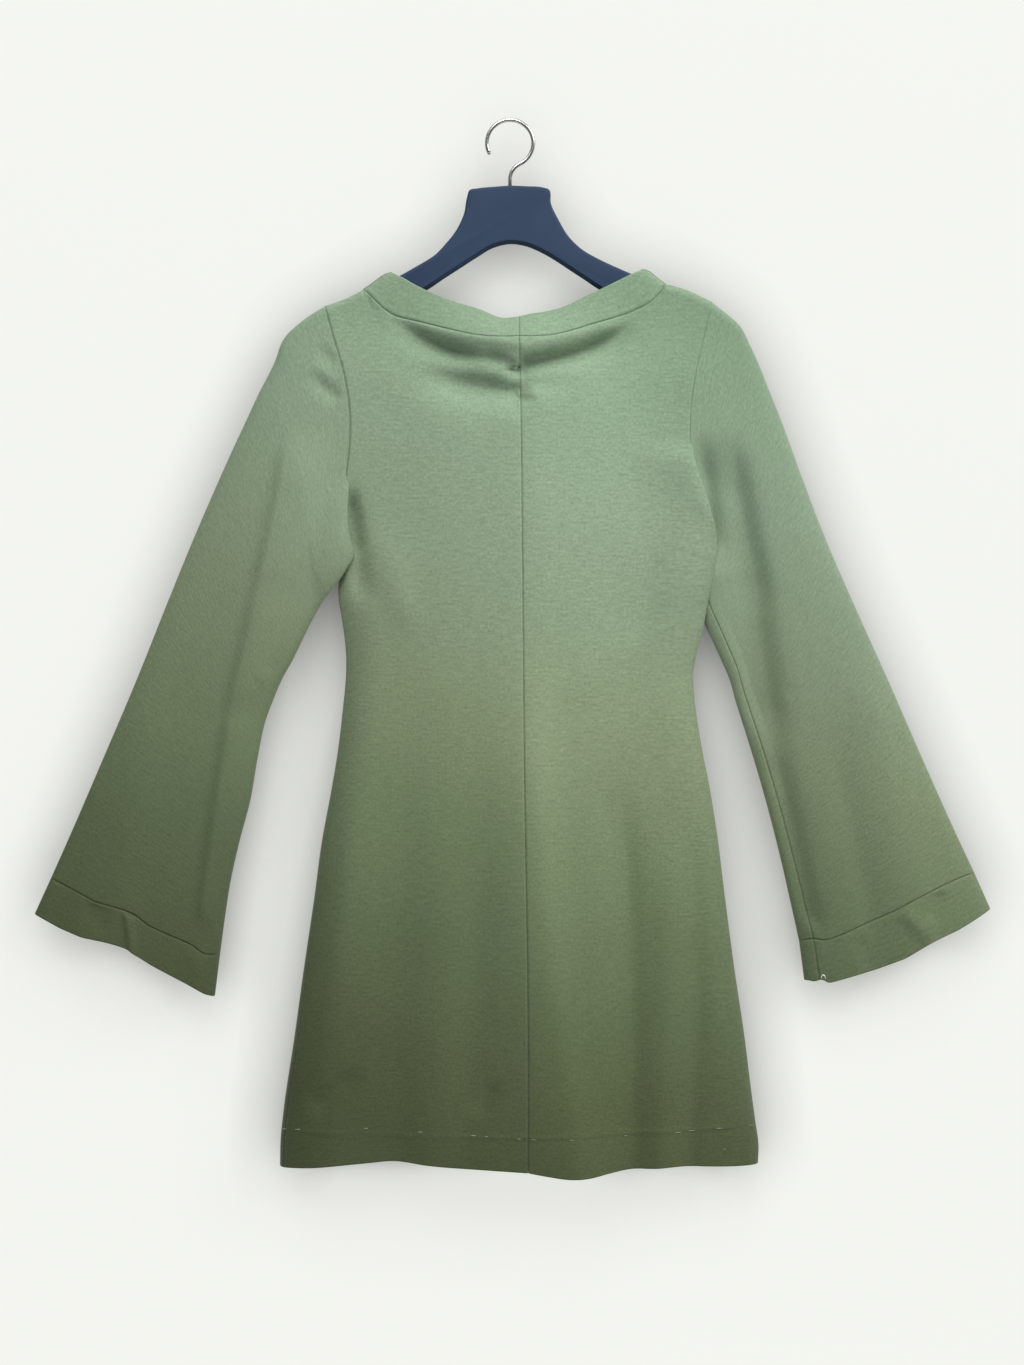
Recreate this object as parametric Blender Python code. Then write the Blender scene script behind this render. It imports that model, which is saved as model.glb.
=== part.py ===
"""Knee-length knit dress with bell sleeves and cuff bands, hung on a plastic hanger.

Tables are in millimetres: x to the right, z up, depth towards the near side.
"""

import bmesh
import bpy
import numpy as np

MM = 0.001

# Cloth and seams
WALL = 1.2
BAND_WALL = 2.0
GAP = 0.3
HEM_LAYER = 2.7
HEM_DEEP = 38.0
HEM_ROWS = 2
HEM_ROW_CLEAR = 0.03

# Roundness of the hanging body
CAP_RADIUS = 8.0
TOP_EASE = 90.0
SIDE_ROUND = 46.0
ARM_DEPTH = 17.0
SEAM_TURN_LEFT = 18.0
SEAM_TURN_RIGHT = -14.0
UNDERARM_START = 0.80
SIDE_SHARE = 0.88
FOLD_AT_ARMHOLE = 0.3
FOLD_POINTS = 41

# Share of the neck, of the shoulder, of the armhole and of the side at each line of the cloth
NECK_STEPS = (0.0, 0.13, 0.26, 0.39, 0.52, 0.65, 0.77, 0.87, 0.94, 0.975, 0.992, 1.0)
SHOULDER_STEPS = (0.0, 0.2, 0.4, 0.6, 0.8, 1.0)
ARMHOLE_STEPS = (0.0, 0.006, 0.018, 0.036, 0.075, 0.14, 0.23, 0.34, 0.45, 0.56, 0.67, 0.78, 0.87, 0.94, 1.0)
SIDE_ROWS = 17
BAND_ROWS = 4
BAND_BELLY = 1.5
CORNER_COLUMNS = 5
CORNER_ROOM = 0.35
SLEEVE_STEPS = (0.0, 0.02, 0.045, 0.08, 0.125, 0.18, 0.24, 0.31, 0.38)
SLEEVE_STEPS = SLEEVE_STEPS + (0.46, 0.54, 0.62, 0.7, 0.78, 0.86, 0.93, 1.0)
CUFF_STEPS = (0.0, 0.5, 1.0)

# Neckline seams and edges: x, z, depth
NECK_SEAM_NEAR_LEFT = [
    (8.5, -205.8, 24.0),
    (-12.2, -206.2, 24.0),
    (-32.1, -204.6, 22.0),
    (-51.0, -200.6, 19.5),
    (-69.0, -196.0, 16.0),
    (-86.1, -191.4, 13.0),
    (-100.4, -187.8, 10.8),
    (-108.9, -185.3, 10.2),
    (-118.4, -179.6, 10.2),
    (-127.0, -171.9, 9.9),
    (-133.7, -164.9, 8.6),
    (-136.7, -162.1, 7.2),
    (-138.7, -160.4, 4.4),
    (-139.7, -159.6, 0.0),
]
NECK_SEAM_NEAR_RIGHT = [
    (8.5, -205.8, 24.0),
    (23.6, -205.8, 24.0),
    (39.6, -204.7, 22.5),
    (58.6, -200.1, 19.5),
    (75.6, -194.5, 16.0),
    (94.6, -188.6, 13.0),
    (112.7, -182.6, 10.8),
    (122.2, -178.2, 10.2),
    (130.8, -173.8, 10.0),
    (137.8, -167.6, 9.2),
    (142.6, -162.6, 8.4),
    (145.4, -159.0, 7.0),
    (146.8, -156.8, 4.4),
    (147.2, -155.8, 0.0),
]
NECK_EDGE_NEAR_LEFT = [
    (8.5, -185.5, 6.5),
    (-5.7, -187.0, 7.2),
    (-30.3, -178.6, 8.6),
    (-55.9, -171.1, 9.4),
    (-79.6, -161.6, 9.8),
    (-92.8, -155.0, 9.8),
    (-102.3, -149.2, 9.4),
    (-106.5, -147.0, 8.6),
    (-110.2, -145.0, 7.0),
    (-112.2, -143.8, 4.2),
    (-113.0, -143.4, 0.0),
]
NECK_EDGE_NEAR_RIGHT = [
    (8.5, -185.5, 6.5),
    (21.8, -182.6, 7.2),
    (32.2, -181.4, 8.0),
    (49.3, -177.2, 9.0),
    (77.7, -164.4, 9.8),
    (98.5, -154.5, 9.8),
    (112.8, -147.3, 9.4),
    (118.5, -144.3, 8.6),
    (122.4, -142.2, 7.0),
    (124.6, -141.0, 4.2),
    (125.4, -140.6, 0.0),
]
NECK_SEAM_FAR_LEFT = [
    (8.5, -247.8, 23.0),
    (-24.9, -245.0, 22.0),
    (-57.3, -236.8, 18.0),
    (-85.9, -222.9, 14.0),
    (-109.6, -204.1, 11.0),
    (-127.6, -179.6, 10.4),
    (-133.4, -169.5, 9.4),
    (-136.6, -164.2, 8.0),
    (-138.8, -161.0, 4.8),
    (-139.7, -159.6, 0.0),
]
NECK_SEAM_FAR_RIGHT = [
    (8.5, -247.8, 23.0),
    (36.3, -245.0, 22.0),
    (70.7, -235.8, 18.0),
    (97.3, -220.9, 14.0),
    (120.1, -200.3, 11.0),
    (135.3, -177.7, 10.4),
    (141.0, -168.2, 9.4),
    (144.6, -161.2, 8.0),
    (146.6, -157.2, 4.8),
    (147.2, -155.8, 0.0),
]
NECK_EDGE_FAR_LEFT = [
    (8.5, -215.0, 8.0),
    (-30.5, -209.1, 8.6),
    (-61.9, -193.8, 9.8),
    (-85.7, -174.7, 10.0),
    (-101.9, -156.7, 9.6),
    (-107.0, -150.4, 8.8),
    (-110.6, -146.2, 7.2),
    (-112.3, -144.2, 4.4),
    (-113.0, -143.4, 0.0),
]
NECK_EDGE_FAR_RIGHT = [
    (8.5, -215.0, 8.0),
    (43.8, -209.1, 8.6),
    (74.3, -192.8, 9.8),
    (97.2, -171.9, 10.0),
    (113.3, -153.8, 9.6),
    (119.2, -147.2, 8.8),
    (122.8, -143.2, 7.2),
    (124.7, -141.3, 4.4),
    (125.4, -140.6, 0.0),
]

# Shoulders, armholes, sides and hems: x, z
SHOULDER = {
    "left": [(-139.7, -159.6), (-148.2, -164.2), (-156.8, -168.2), (-166.2, -171.8), (-175.8, -174.8)],
    "right": [(147.2, -155.8), (157.7, -156.9), (169.1, -160.1), (180.5, -165.3), (191.9, -171.0)],
}
ARMHOLE = {
    "left": [
        (-175.8, -174.8),
        (-167.4, -204.8),
        (-156.9, -240.9),
        (-152.2, -269.2),
        (-150.3, -291.0),
        (-149.8, -325.0),
        (-152.3, -345.7),
        (-154.7, -369.2),
        (-156.9, -395.5),
        (-159.6, -416.1),
    ],
    "right": [
        (191.9, -171.0),
        (183.4, -203.9),
        (174.9, -242.8),
        (171.1, -269.2),
        (170.2, -291.0),
        (172.0, -316.5),
        (177.0, -341.9),
        (182.6, -364.5),
        (185.6, -388.0),
        (185.6, -416.1),
    ],
}
SIDE = {
    "left": [
        (-159.6, -416.1),
        (-163.4, -450.3),
        (-160.1, -473.1),
        (-156.8, -496.8),
        (-155.8, -514.9),
        (-156.3, -532.0),
        (-158.7, -556.7),
        (-163.4, -596.6),
        (-170.0, -636.5),
        (-178.6, -683.0),
        (-186.2, -739.1),
        (-195.7, -803.7),
        (-205.2, -872.1),
        (-215.2, -939.5),
        (-218.0, -967.1),
        (-218.5, -990.8),
    ],
    "right": [
        (185.6, -416.1),
        (181.8, -439.8),
        (178.2, -461.7),
        (174.3, -491.1),
        (173.4, -514.9),
        (175.3, -549.1),
        (182.4, -596.6),
        (189.0, -629.9),
        (195.7, -669.8),
        (203.3, -729.6),
        (212.8, -801.8),
        (223.2, -872.1),
        (228.5, -914.8),
        (233.2, -950.0),
        (236.1, -970.9),
        (235.6, -988.0),
    ],
}
HEM_NEAR = {
    "left": [
        (17.0, -993.1),
        (-18.8, -991.3),
        (-50.8, -989.5),
        (-79.1, -986.8),
        (-109.2, -983.1),
        (-134.7, -985.1),
        (-161.2, -987.3),
        (-188.9, -989.7),
        (-218.5, -990.8),
    ],
    "right": [
        (17.0, -993.1),
        (33.9, -995.8),
        (57.4, -998.5),
        (76.2, -997.7),
        (95.1, -994.1),
        (114.9, -990.5),
        (135.6, -989.7),
        (159.2, -987.9),
        (201.1, -988.0),
        (235.6, -988.0),
    ],
}
HEM_FAR = {
    "left": [(17.0, -989.0), (-60.0, -987.0), (-140.0, -987.5), (-218.5, -990.8)],
    "right": [(17.0, -989.0), (90.0, -990.0), (160.0, -988.0), (235.6, -988.0)],
}
CENTRE_NEAR = [(8.5, -205.8), (10.4, -290.0), (11.4, -379.5), (13.5, -620.0), (17.0, -860.0), (17.0, -993.1)]
CENTRE_FAR = [(8.5, -247.8), (10.4, -320.0), (11.4, -400.0), (13.5, -620.0), (17.0, -860.0), (17.0, -989.0)]

# Depth of the body at its centre: z, near depth, far depth
BODY_DEPTH = [
    (-140.0, 22.0, 20.0),
    (-230.0, 21.0, 21.0),
    (-300.0, 22.0, 23.0),
    (-420.0, 23.0, 25.0),
    (-520.0, 22.0, 24.0),
    (-650.0, 24.0, 26.0),
    (-800.0, 26.0, 28.0),
    (-1000.0, 30.0, 30.0),
]

# Sleeves and cuffs: x, z of the outer and of the inner fold
OUTER = {
    "left": [
        (-175.8, -174.8),
        (-193.8, -186.2),
        (-203.3, -193.8),
        (-211.4, -201.4),
        (-216.6, -209.0),
        (-222.8, -226.1),
        (-229.4, -240.3),
        (-237.0, -254.6),
        (-250.3, -283.1),
        (-263.6, -311.6),
        (-276.4, -340.1),
        (-301.1, -397.1),
        (-324.4, -454.1),
        (-354.8, -530.1),
        (-387.1, -606.1),
        (-419.9, -682.1),
        (-436.0, -718.2),
    ],
    "right": [
        (191.9, -171.0),
        (201.4, -178.6),
        (210.9, -186.2),
        (218.5, -193.8),
        (223.2, -201.4),
        (227.0, -209.9),
        (234.6, -226.1),
        (246.0, -254.6),
        (257.4, -283.1),
        (267.9, -311.6),
        (278.3, -340.1),
        (300.2, -397.1),
        (324.9, -454.1),
        (359.1, -530.1),
        (392.3, -606.1),
        (426.5, -682.1),
        (440.8, -712.5),
    ],
}
INNER = {
    "left": [
        (-159.6, -416.1),
        (-166.2, -427.5),
        (-172.4, -441.8),
        (-180.5, -456.0),
        (-188.6, -473.1),
        (-206.1, -511.1),
        (-216.6, -530.1),
        (-224.7, -549.1),
        (-231.8, -568.1),
        (-239.9, -606.1),
        (-246.5, -644.1),
        (-256.5, -682.1),
        (-265.1, -720.1),
        (-270.8, -756.2),
        (-275.5, -791.3),
    ],
    "right": [
        (185.6, -416.1),
        (188.6, -430.3),
        (189.2, -444.6),
        (188.9, -457.9),
        (190.4, -473.1),
        (196.4, -492.1),
        (202.3, -511.1),
        (209.0, -530.1),
        (214.2, -549.1),
        (226.1, -587.1),
        (237.5, -625.1),
        (247.9, -663.1),
        (257.4, -701.1),
        (266.0, -739.1),
        (274.6, -778.0),
    ],
}
CUFF_OUTER = {"left": [(-436.0, -718.2), (-451.2, -751.4)], "right": [(440.8, -712.5), (456.0, -746.7)]}
CUFF_INNER = {"left": [(-275.5, -791.3), (-280.2, -829.3)], "right": [(274.6, -778.0), (279.3, -814.1)]}

# Depth of a sleeve: share of its length, half depth, sag of the rings, shift of the inner fold
SLEEVE_DEPTH = {
    "left": [
        (0.0, 17.0, 0.0, 0.0),
        (0.15, 19.0, 0.0, 5.0),
        (0.5, 17.0, 0.0, 2.0),
        (1.0, 19.0, 3.0, 0.0),
    ],
    "right": [
        (0.0, 17.0, 0.0, 0.0),
        (0.15, 18.0, 0.0, -7.0),
        (0.5, 17.0, -2.0, -2.0),
        (1.0, 19.0, -10.0, 0.0),
    ],
}
CUFF_DEPTH = {"left": (19.0, 20.0, 3.0, 3.0), "right": (19.0, 20.0, -10.0, -13.0)}
SLEEVE_BLEND = 0.16
SLEEVE_FULLNESS = 0.42
SLEEVE_FOLD_REACH = 6.0
SLEEVE_BEFORE_END = 0.97
INNER_LAG = 1.2

# Largest folds of the near side: x, z at start, middle and end, half width, depth, fade in, fade out
BODY_FOLDS = [
    (-122.0, -188.0, -70.0, -208.0, -12.0, -215.0, 9.0, 3.2, 0.2, 0.3),
    (118.0, -191.0, 68.0, -212.5, 12.0, -225.0, 9.0, 3.0, 0.2, 0.3),
    (-76.0, -240.0, -42.0, -243.5, 6.0, -251.0, 8.0, 2.4, 0.3, 0.3),
    (72.0, -232.0, 41.0, -242.0, 14.0, -245.5, 8.0, 1.8, 0.3, 0.3),
    (-142.0, -330.0, -139.0, -400.0, -126.0, -470.0, 11.0, 4.0, 0.3, 0.5),
    (164.0, -330.0, 160.0, -390.0, 150.0, -440.0, 11.0, 2.5, 0.3, 0.5),
    (-108.0, -600.0, -115.0, -780.0, -120.0, -1000.0, 26.0, 4.0, 0.5, 0.0),
    (-20.0, -620.0, -24.0, -800.0, -30.0, -1000.0, 24.0, -2.5, 0.5, 0.0),
    (60.0, -700.0, 50.0, -850.0, 55.0, -1000.0, 22.0, -3.0, 0.5, 0.0),
    (120.0, -640.0, 124.0, -800.0, 128.0, -1000.0, 24.0, 3.0, 0.5, 0.0),
]
SLEEVE_FOLDS = {
    "left": [
        (-210.8, -293.5, -240.0, -436.0, -284.0, -650.0, 14.0, 4.0, 0.3, 0.4),
        (-180.0, -220.0, -172.0, -250.0, -161.0, -268.0, 9.0, 2.2, 0.4, 0.3),
    ],
    "right": [
        (214.0, -302.0, 250.0, -473.0, 294.0, -768.0, 14.0, 4.0, 0.3, 0.3),
        (186.0, -314.0, 190.0, -368.0, 207.0, -416.0, 8.0, 3.0, 0.4, 0.4),
    ],
}

# Hanger: arm under the cloth, head, hook
ARM_LEAVES_LEFT = (-104.5, -144.4)
ARM_LEAVES_RIGHT = (114.9, -142.5)
ARM_COVER_ROWS = 5
ARM_CLEAR = 1.9
BAND_CLEAR = 0.9
ARM_HALF = 4.5
ARM_END_LEFT = -203.0
ARM_END_RIGHT = 215.0
ARM_END_TAPER = 8.0
ARM_END_HALF = 0.5
ARM_END_ROUND = 3.0
ARM_END_DROP = 2.0
HANGER_TOP = [
    (-104.5, -146.3),
    (-90.2, -138.2),
    (-78.8, -131.6),
    (-72.2, -127.3),
    (-61.8, -116.8),
    (-51.3, -103.5),
    (-43.7, -87.4),
    (-40.9, -72.2),
    (-38.5, -65.1),
    (-30.4, -63.3),
    (-16.1, -61.9),
    (1.9, -60.8),
    (14.2, -61.3),
    (32.3, -62.7),
    (36.6, -64.1),
    (38.9, -77.9),
    (46.5, -94.0),
    (55.1, -108.3),
    (67.5, -120.6),
    (85.5, -131.1),
    (100.7, -138.2),
    (114.9, -144.4),
]
HANGER_BOTTOM = [
    (-203.0, -203.0),
    (-201.0, -206.5),
    (-197.4, -208.0),
    (-188.1, -207.1),
    (-175.8, -203.3),
    (-156.8, -197.1),
    (-139.7, -189.0),
    (-123.5, -181.4),
    (-104.5, -172.4),
    (-78.8, -159.6),
    (-61.8, -148.2),
    (-51.3, -141.5),
    (-32.3, -129.2),
    (-16.1, -119.7),
    (1.9, -115.9),
    (14.2, -117.8),
    (32.3, -125.4),
    (46.5, -133.9),
    (57.9, -141.5),
    (67.5, -147.7),
    (85.5, -159.6),
    (100.7, -167.7),
    (114.9, -174.8),
    (126.3, -179.5),
    (147.2, -185.2),
    (169.1, -190.9),
    (191.9, -199.5),
    (201.4, -203.3),
    (208.9, -206.0),
    (213.0, -205.0),
    (215.0, -202.0),
]
ARM_SECTION_POINTS = 12
ARM_SQUARENESS = 0.72
HOOK_WIRE = 2.0
HOOK_INNER = 20.0
HOOK_TIP_ANGLE = 205.0
HOOK_TURN_ANGLE = -65.0
STEM_END = -74.0
SOCKET_DEEP = 14.0
SOCKET_TOP = 12.0
HOOK_POINTS = 10
HOOK_ARC_POINTS = 26
HOOK_BEND_POINTS = 7

# Colours and how rough each surface is
CLOTH_COLOUR = (0.26, 0.34, 0.22, 1.0)
CLOTH_ROUGHNESS = 0.9
HANGER_COLOUR = (0.05, 0.08, 0.13, 1.0)
HANGER_ROUGHNESS = 0.45
STEEL_COLOUR = (0.62, 0.62, 0.60, 1.0)
STEEL_ROUGHNESS = 0.25


def curve(points, samples=24):
    """A smooth line through a table's rows, asked for by the share of its length."""
    rows = np.array(points, float)
    chord = np.concatenate([[0.0], np.cumsum(np.linalg.norm(np.diff(rows[:, :2], axis=0), axis=1))])
    slope = np.gradient(rows, chord, axis=0)
    fine = []
    for i in range(len(rows) - 1):
        step = chord[i + 1] - chord[i]
        t = np.linspace(0.0, 1.0, samples, endpoint=False)[:, None]
        fine.append(
            (2 * t**3 - 3 * t**2 + 1) * rows[i]
            + (t**3 - 2 * t**2 + t) * step * slope[i]
            + (3 * t**2 - 2 * t**3) * rows[i + 1]
            + (t**3 - t**2) * step * slope[i + 1]
        )
    fine = np.vstack(fine + [rows[-1:]])
    length = np.concatenate([[0.0], np.cumsum(np.linalg.norm(np.diff(fine[:, :2], axis=0), axis=1))])

    def at(share):
        """The point, or points, at this share of the length."""
        wanted = np.asarray(share, float) * length[-1]
        return np.stack([np.interp(wanted, length, fine[:, k]) for k in range(fine.shape[1])], axis=-1)

    at.length = length[-1]
    return at


def ease(t):
    """Rises from 0 to 1 with level ends."""
    t = np.clip(t, 0.0, 1.0)
    return t * t * (3.0 - 2.0 * t)


def fold_shift(x, z, folds):
    """How far inwards the cloth goes at x, z because of the folds in a table."""
    shift = np.zeros(np.shape(x))
    for x0, z0, x1, z1, x2, z2, width, depth, fade_in, fade_out in folds:
        line = curve([(x0, z0), (x1, z1), (x2, z2)])
        share = np.linspace(0.0, 1.0, FOLD_POINTS)
        points = line(share)
        away = np.hypot(np.asarray(x)[..., None] - points[:, 0], np.asarray(z)[..., None] - points[:, 1])
        nearest = away.argmin(axis=-1)
        run = share[nearest]
        level = np.ones(np.shape(x))
        if fade_in:
            level = level * ease(run / fade_in)
        if fade_out:
            level = level * ease((1.0 - run) / fade_out)
        shift = shift + depth * level * np.exp(-((away.min(axis=-1) / width) ** 2))
    return shift


def half_panel(side, near):
    """Points of one half of the body on one side: rows from the top down, columns from the centre out."""
    sign = -1.0 if side == "left" else 1.0
    seams = {
        ("left", True): NECK_SEAM_NEAR_LEFT,
        ("right", True): NECK_SEAM_NEAR_RIGHT,
        ("left", False): NECK_SEAM_FAR_LEFT,
        ("right", False): NECK_SEAM_FAR_RIGHT,
    }
    neck = curve(seams[side, near])
    shoulder = curve(SHOULDER[side])
    hem = curve((HEM_NEAR if near else HEM_FAR)[side])
    centre = curve(CENTRE_NEAR if near else CENTRE_FAR)
    armhole = curve(ARMHOLE[side])
    flank = curve(SIDE[side])
    turn = np.radians(SEAM_TURN_LEFT if side == "left" else SEAM_TURN_RIGHT)

    # Top line with its depth, and the share of the width at each column
    neck_row = neck(NECK_STEPS)
    shoulder_row = shoulder(SHOULDER_STEPS)[1:]
    top = np.vstack([neck_row[:, :2], shoulder_row])
    top_depth = np.concatenate([neck_row[:, 2], np.zeros(len(shoulder_row))])
    u = np.abs(top[:, 0] - top[0, 0]) / abs(top[-1, 0] - top[0, 0])

    # Edge line, and the share of the height at each row
    flank_share = np.linspace(0.0, 1.0, SIDE_ROWS + 1)[1:]
    hem_row = 1.0 - HEM_DEEP / flank.length
    above_hem = flank_share[flank_share < hem_row - HEM_ROW_CLEAR]
    flank_share = np.append(above_hem, np.linspace(hem_row, 1.0, HEM_ROWS + 1))
    edge = np.vstack([armhole(ARMHOLE_STEPS), flank(flank_share)])
    arm_run = np.array(ARMHOLE_STEPS) * armhole.length
    run = np.concatenate([arm_run, armhole.length + flank_share * flank.length])
    v = run / run[-1]
    rows = len(v)
    arm_rows = len(ARMHOLE_STEPS)

    uu, vv = np.meshgrid(u, v)
    bottom = hem(u)
    middle = centre(v)
    point = (1 - vv)[..., None] * top[None] + vv[..., None] * bottom[None]
    point = point + (1 - uu)[..., None] * middle[:, None] + uu[..., None] * edge[:, None]
    point = point - ((1 - uu) * (1 - vv))[..., None] * top[0] - (uu * (1 - vv))[..., None] * top[-1]
    point = point - ((1 - uu) * vv)[..., None] * bottom[0] - (uu * vv)[..., None] * bottom[-1]
    x = point[..., 0]
    z = point[..., 1]

    # How far the edge has turned into a round side: none at the armhole, all from the underarm down
    arm_share = np.concatenate([ARMHOLE_STEPS, np.ones(rows - arm_rows)])
    turned = ease((arm_share - UNDERARM_START) / (1.0 - UNDERARM_START))[:, None]
    table = np.array(BODY_DEPTH)
    full = np.interp(-z, -table[:, 0], table[:, 1 if near else 2])
    beyond = np.interp(-z, -table[:, 0], table[:, 2 if near else 1])
    from_edge = np.abs(edge[:, :1] - x)
    half_width = np.abs(edge[:, :1] - x[:, :1])
    swell = 1.0 - (1.0 - np.clip(from_edge / half_width, 0.0, 1.0)) ** 2
    full = full * (SIDE_SHARE + (1 - SIDE_SHARE) * swell)
    beyond = beyond * (SIDE_SHARE + (1 - SIDE_SHARE) * swell)
    share = np.clip(from_edge / SIDE_ROUND, 0.0, 1.0)
    start = turn if near else -turn
    angle = start + (np.pi / 2 - start) * share
    round_x = np.where(share < 1.0, edge[:, :1] - sign * SIDE_ROUND * (1 - np.cos(angle)), x)
    round_depth = np.where(share < 1.0, np.where(angle > 0.0, full, beyond) * np.sin(angle), full)
    flat_depth = ARM_DEPTH + (full - ARM_DEPTH) * ease(from_edge / TOP_EASE)
    x = x * (1 - turned) + round_x * turned
    depth = flat_depth * (1 - turned) + round_depth * turned

    # Over the hanger the cloth turns round its own small radius, then eases out to the full depth
    below = np.clip(top[:, 1][None] - z, 0.0, None)
    started = CAP_RADIUS * (1 - np.sqrt(1 - np.clip(top_depth / CAP_RADIUS, 0.0, 1.0) ** 2))
    turned_down = np.clip((below + started[None]) / CAP_RADIUS, 0.0, 1.0)
    cap = np.maximum(CAP_RADIUS * np.sqrt(1 - (1 - turned_down) ** 2), top_depth[None])
    depth = cap + (depth - cap) * ease(below / TOP_EASE)
    if near:
        level = ease(from_edge / SIDE_ROUND + (1 - turned) * FOLD_AT_ARMHOLE)
        depth = depth - fold_shift(x, z, BODY_FOLDS) * level
    y = -depth if near else depth
    return np.stack([x, y, z], axis=-1), arm_rows, len(NECK_STEPS)


def normals(grid, closed=False):
    """Unit normals of a grid of points."""
    down = np.gradient(grid, axis=0)
    if closed:
        across = np.roll(grid, -1, axis=1) - np.roll(grid, 1, axis=1)
    else:
        across = np.gradient(grid, axis=1)
    found = np.cross(across, down)
    return found / np.linalg.norm(found, axis=-1, keepdims=True)


def keep_off(offset, direction):
    """Takes out the part of an offset that leans across a seam."""
    direction = direction / np.linalg.norm(direction, axis=-1, keepdims=True)
    lean = np.clip((offset * direction).sum(-1, keepdims=True), 0.0, None)
    return offset - lean * direction


def solid(name, outer, inner, closed, material):
    """One closed body between an outer and an inner grid, with its rims."""
    rows, columns = outer.shape[:2]
    mesh = bpy.data.meshes.new(name)
    build = bmesh.new()
    shells = []
    for grid in (outer, inner):
        shells.append([[build.verts.new(tuple(p * MM)) for p in row] for row in grid])
    last = columns if closed else columns - 1
    for level, shell in enumerate(shells):
        for i in range(rows - 1):
            for j in range(last):
                k = (j + 1) % columns
                face = [shell[i][j], shell[i][k], shell[i + 1][k], shell[i + 1][j]]
                build.faces.new(face if level == 0 else face[::-1])
    for j in range(last):
        k = (j + 1) % columns
        build.faces.new([shells[0][0][k], shells[0][0][j], shells[1][0][j], shells[1][0][k]])
        build.faces.new([shells[0][-1][j], shells[0][-1][k], shells[1][-1][k], shells[1][-1][j]])
    if not closed:
        for i in range(rows - 1):
            build.faces.new([shells[0][i][0], shells[0][i + 1][0], shells[1][i + 1][0], shells[1][i][0]])
            build.faces.new([shells[0][i + 1][-1], shells[0][i][-1], shells[1][i][-1], shells[1][i + 1][-1]])
    bmesh.ops.recalc_face_normals(build, faces=build.faces)
    build.to_mesh(mesh)
    build.free()
    for polygon in mesh.polygons:
        polygon.use_smooth = True
    mesh.materials.append(material)
    obj = bpy.data.objects.new(name, mesh)
    bpy.context.scene.collection.objects.link(obj)
    return obj


def paint(name, colour, roughness, metallic=0.0):
    """A plain material."""
    material = bpy.data.materials.new(name)
    material.use_nodes = True
    shader = material.node_tree.nodes["Principled BSDF"]
    shader.inputs["Base Color"].default_value = colour
    shader.inputs["Roughness"].default_value = roughness
    shader.inputs["Metallic"].default_value = metallic
    return material


def panel(name, grid, edges, material):
    """A body panel with its turned-up hem. Each edge comes with the way across its seam."""
    out = normals(grid)
    middle = out[grid.shape[0] // 2, grid.shape[1] // 2]
    facing = grid[grid.shape[0] // 2, grid.shape[1] // 2, 1]
    if middle[1] * facing < 0:
        out = -out
    inward = -out
    for where, direction in edges:
        inward[where] = keep_off(inward[where], direction)
    hem_top = grid.shape[0] - 1 - HEM_ROWS
    lift = np.array([0.0, 0.0, WALL])
    layer = np.array([grid[-1] + inward[-1] * HEM_LAYER, grid[hem_top] + inward[hem_top] * HEM_LAYER])
    outer = np.vstack([grid, layer])
    wall = grid + inward * WALL
    wall[-1] = wall[-1] + lift
    layer_wall = np.array([layer[0] - inward[-1] * WALL + lift, layer[1] - inward[hem_top] * WALL])
    return solid(name, outer, np.vstack([wall, layer_wall]), False, material)


def widen(grid, where, direction, amount):
    """Moves one edge line of points away from its seam."""
    grid[where] = grid[where] - direction / np.linalg.norm(direction, axis=-1, keepdims=True) * amount


def tube(name, rings, start_way, end_way, wall, material):
    """A sleeve or cuff between rings, its wall set inwards and kept off the seams at both ends."""
    out = normals(rings, closed=True)
    centre = rings.mean(axis=1, keepdims=True)
    if ((rings - centre) * out).sum(-1).mean() < 0:
        out = -out
    inward = -out
    inward[0] = keep_off(inward[0], start_way)
    inward[-1] = keep_off(inward[-1], end_way)
    return solid(name, rings, rings + inward * wall, True, material)


for old in list(bpy.data.objects):
    bpy.data.objects.remove(old, do_unlink=True)

cloth = {}
for piece in ("back_left", "back_right", "front", "neckband_back_left", "neckband_back_right"):
    cloth[piece] = paint(piece, CLOTH_COLOUR, CLOTH_ROUGHNESS)
for piece in ("neckband_front", "sleeve_left", "sleeve_right", "cuff_left", "cuff_right"):
    cloth[piece] = paint(piece, CLOTH_COLOUR, CLOTH_ROUGHNESS)

# Body panels: two on the near side that meet at the centre seam, one across the far side
halves = {}
for side in ("left", "right"):
    for near in (True, False):
        halves[side, near] = half_panel(side, near)
arm_rows = halves["left", True][1]
neck_columns = halves["left", True][2]


def arm_way(side):
    """Across the armhole seam, out of the body, at each point of the armhole."""
    line = halves[side, True][0][:arm_rows, -1]
    along = np.gradient(line[:, [0, 2]], axis=0)
    along = along / np.linalg.norm(along, axis=-1, keepdims=True)
    sign = -1.0 if side == "left" else 1.0
    return np.stack([-along[:, 1] * sign, np.zeros(arm_rows), along[:, 0] * sign], axis=-1)


def neck_way(line, side):
    """Across the neck seam, towards the band, at each point of the seam."""
    sign = -1.0 if side == "left" else 1.0
    along = np.gradient(line[:, [0, 2]], axis=0)
    along = along / np.linalg.norm(along, axis=-1, keepdims=True)
    return np.stack([-along[:, 1] * sign, np.zeros(len(line)), along[:, 0] * sign], axis=-1)


def edges_of(side, grid, near):
    """The edges of one half: neck, shoulder, side, armhole, each with the way across its seam."""
    away = np.array([0.0, 1.0 if near else -1.0, 0.0])
    return [
        ((0, slice(0, neck_columns)), neck_way(grid[0, :neck_columns], side)),
        ((0, slice(neck_columns - 1, grid.shape[1])), np.tile(away, (grid.shape[1] - neck_columns + 1, 1))),
        ((slice(arm_rows - 1, None), -1), np.tile(away, (grid.shape[0] - arm_rows + 1, 1))),
        ((slice(None, arm_rows), -1), arm_way(side)),
    ]


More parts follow.
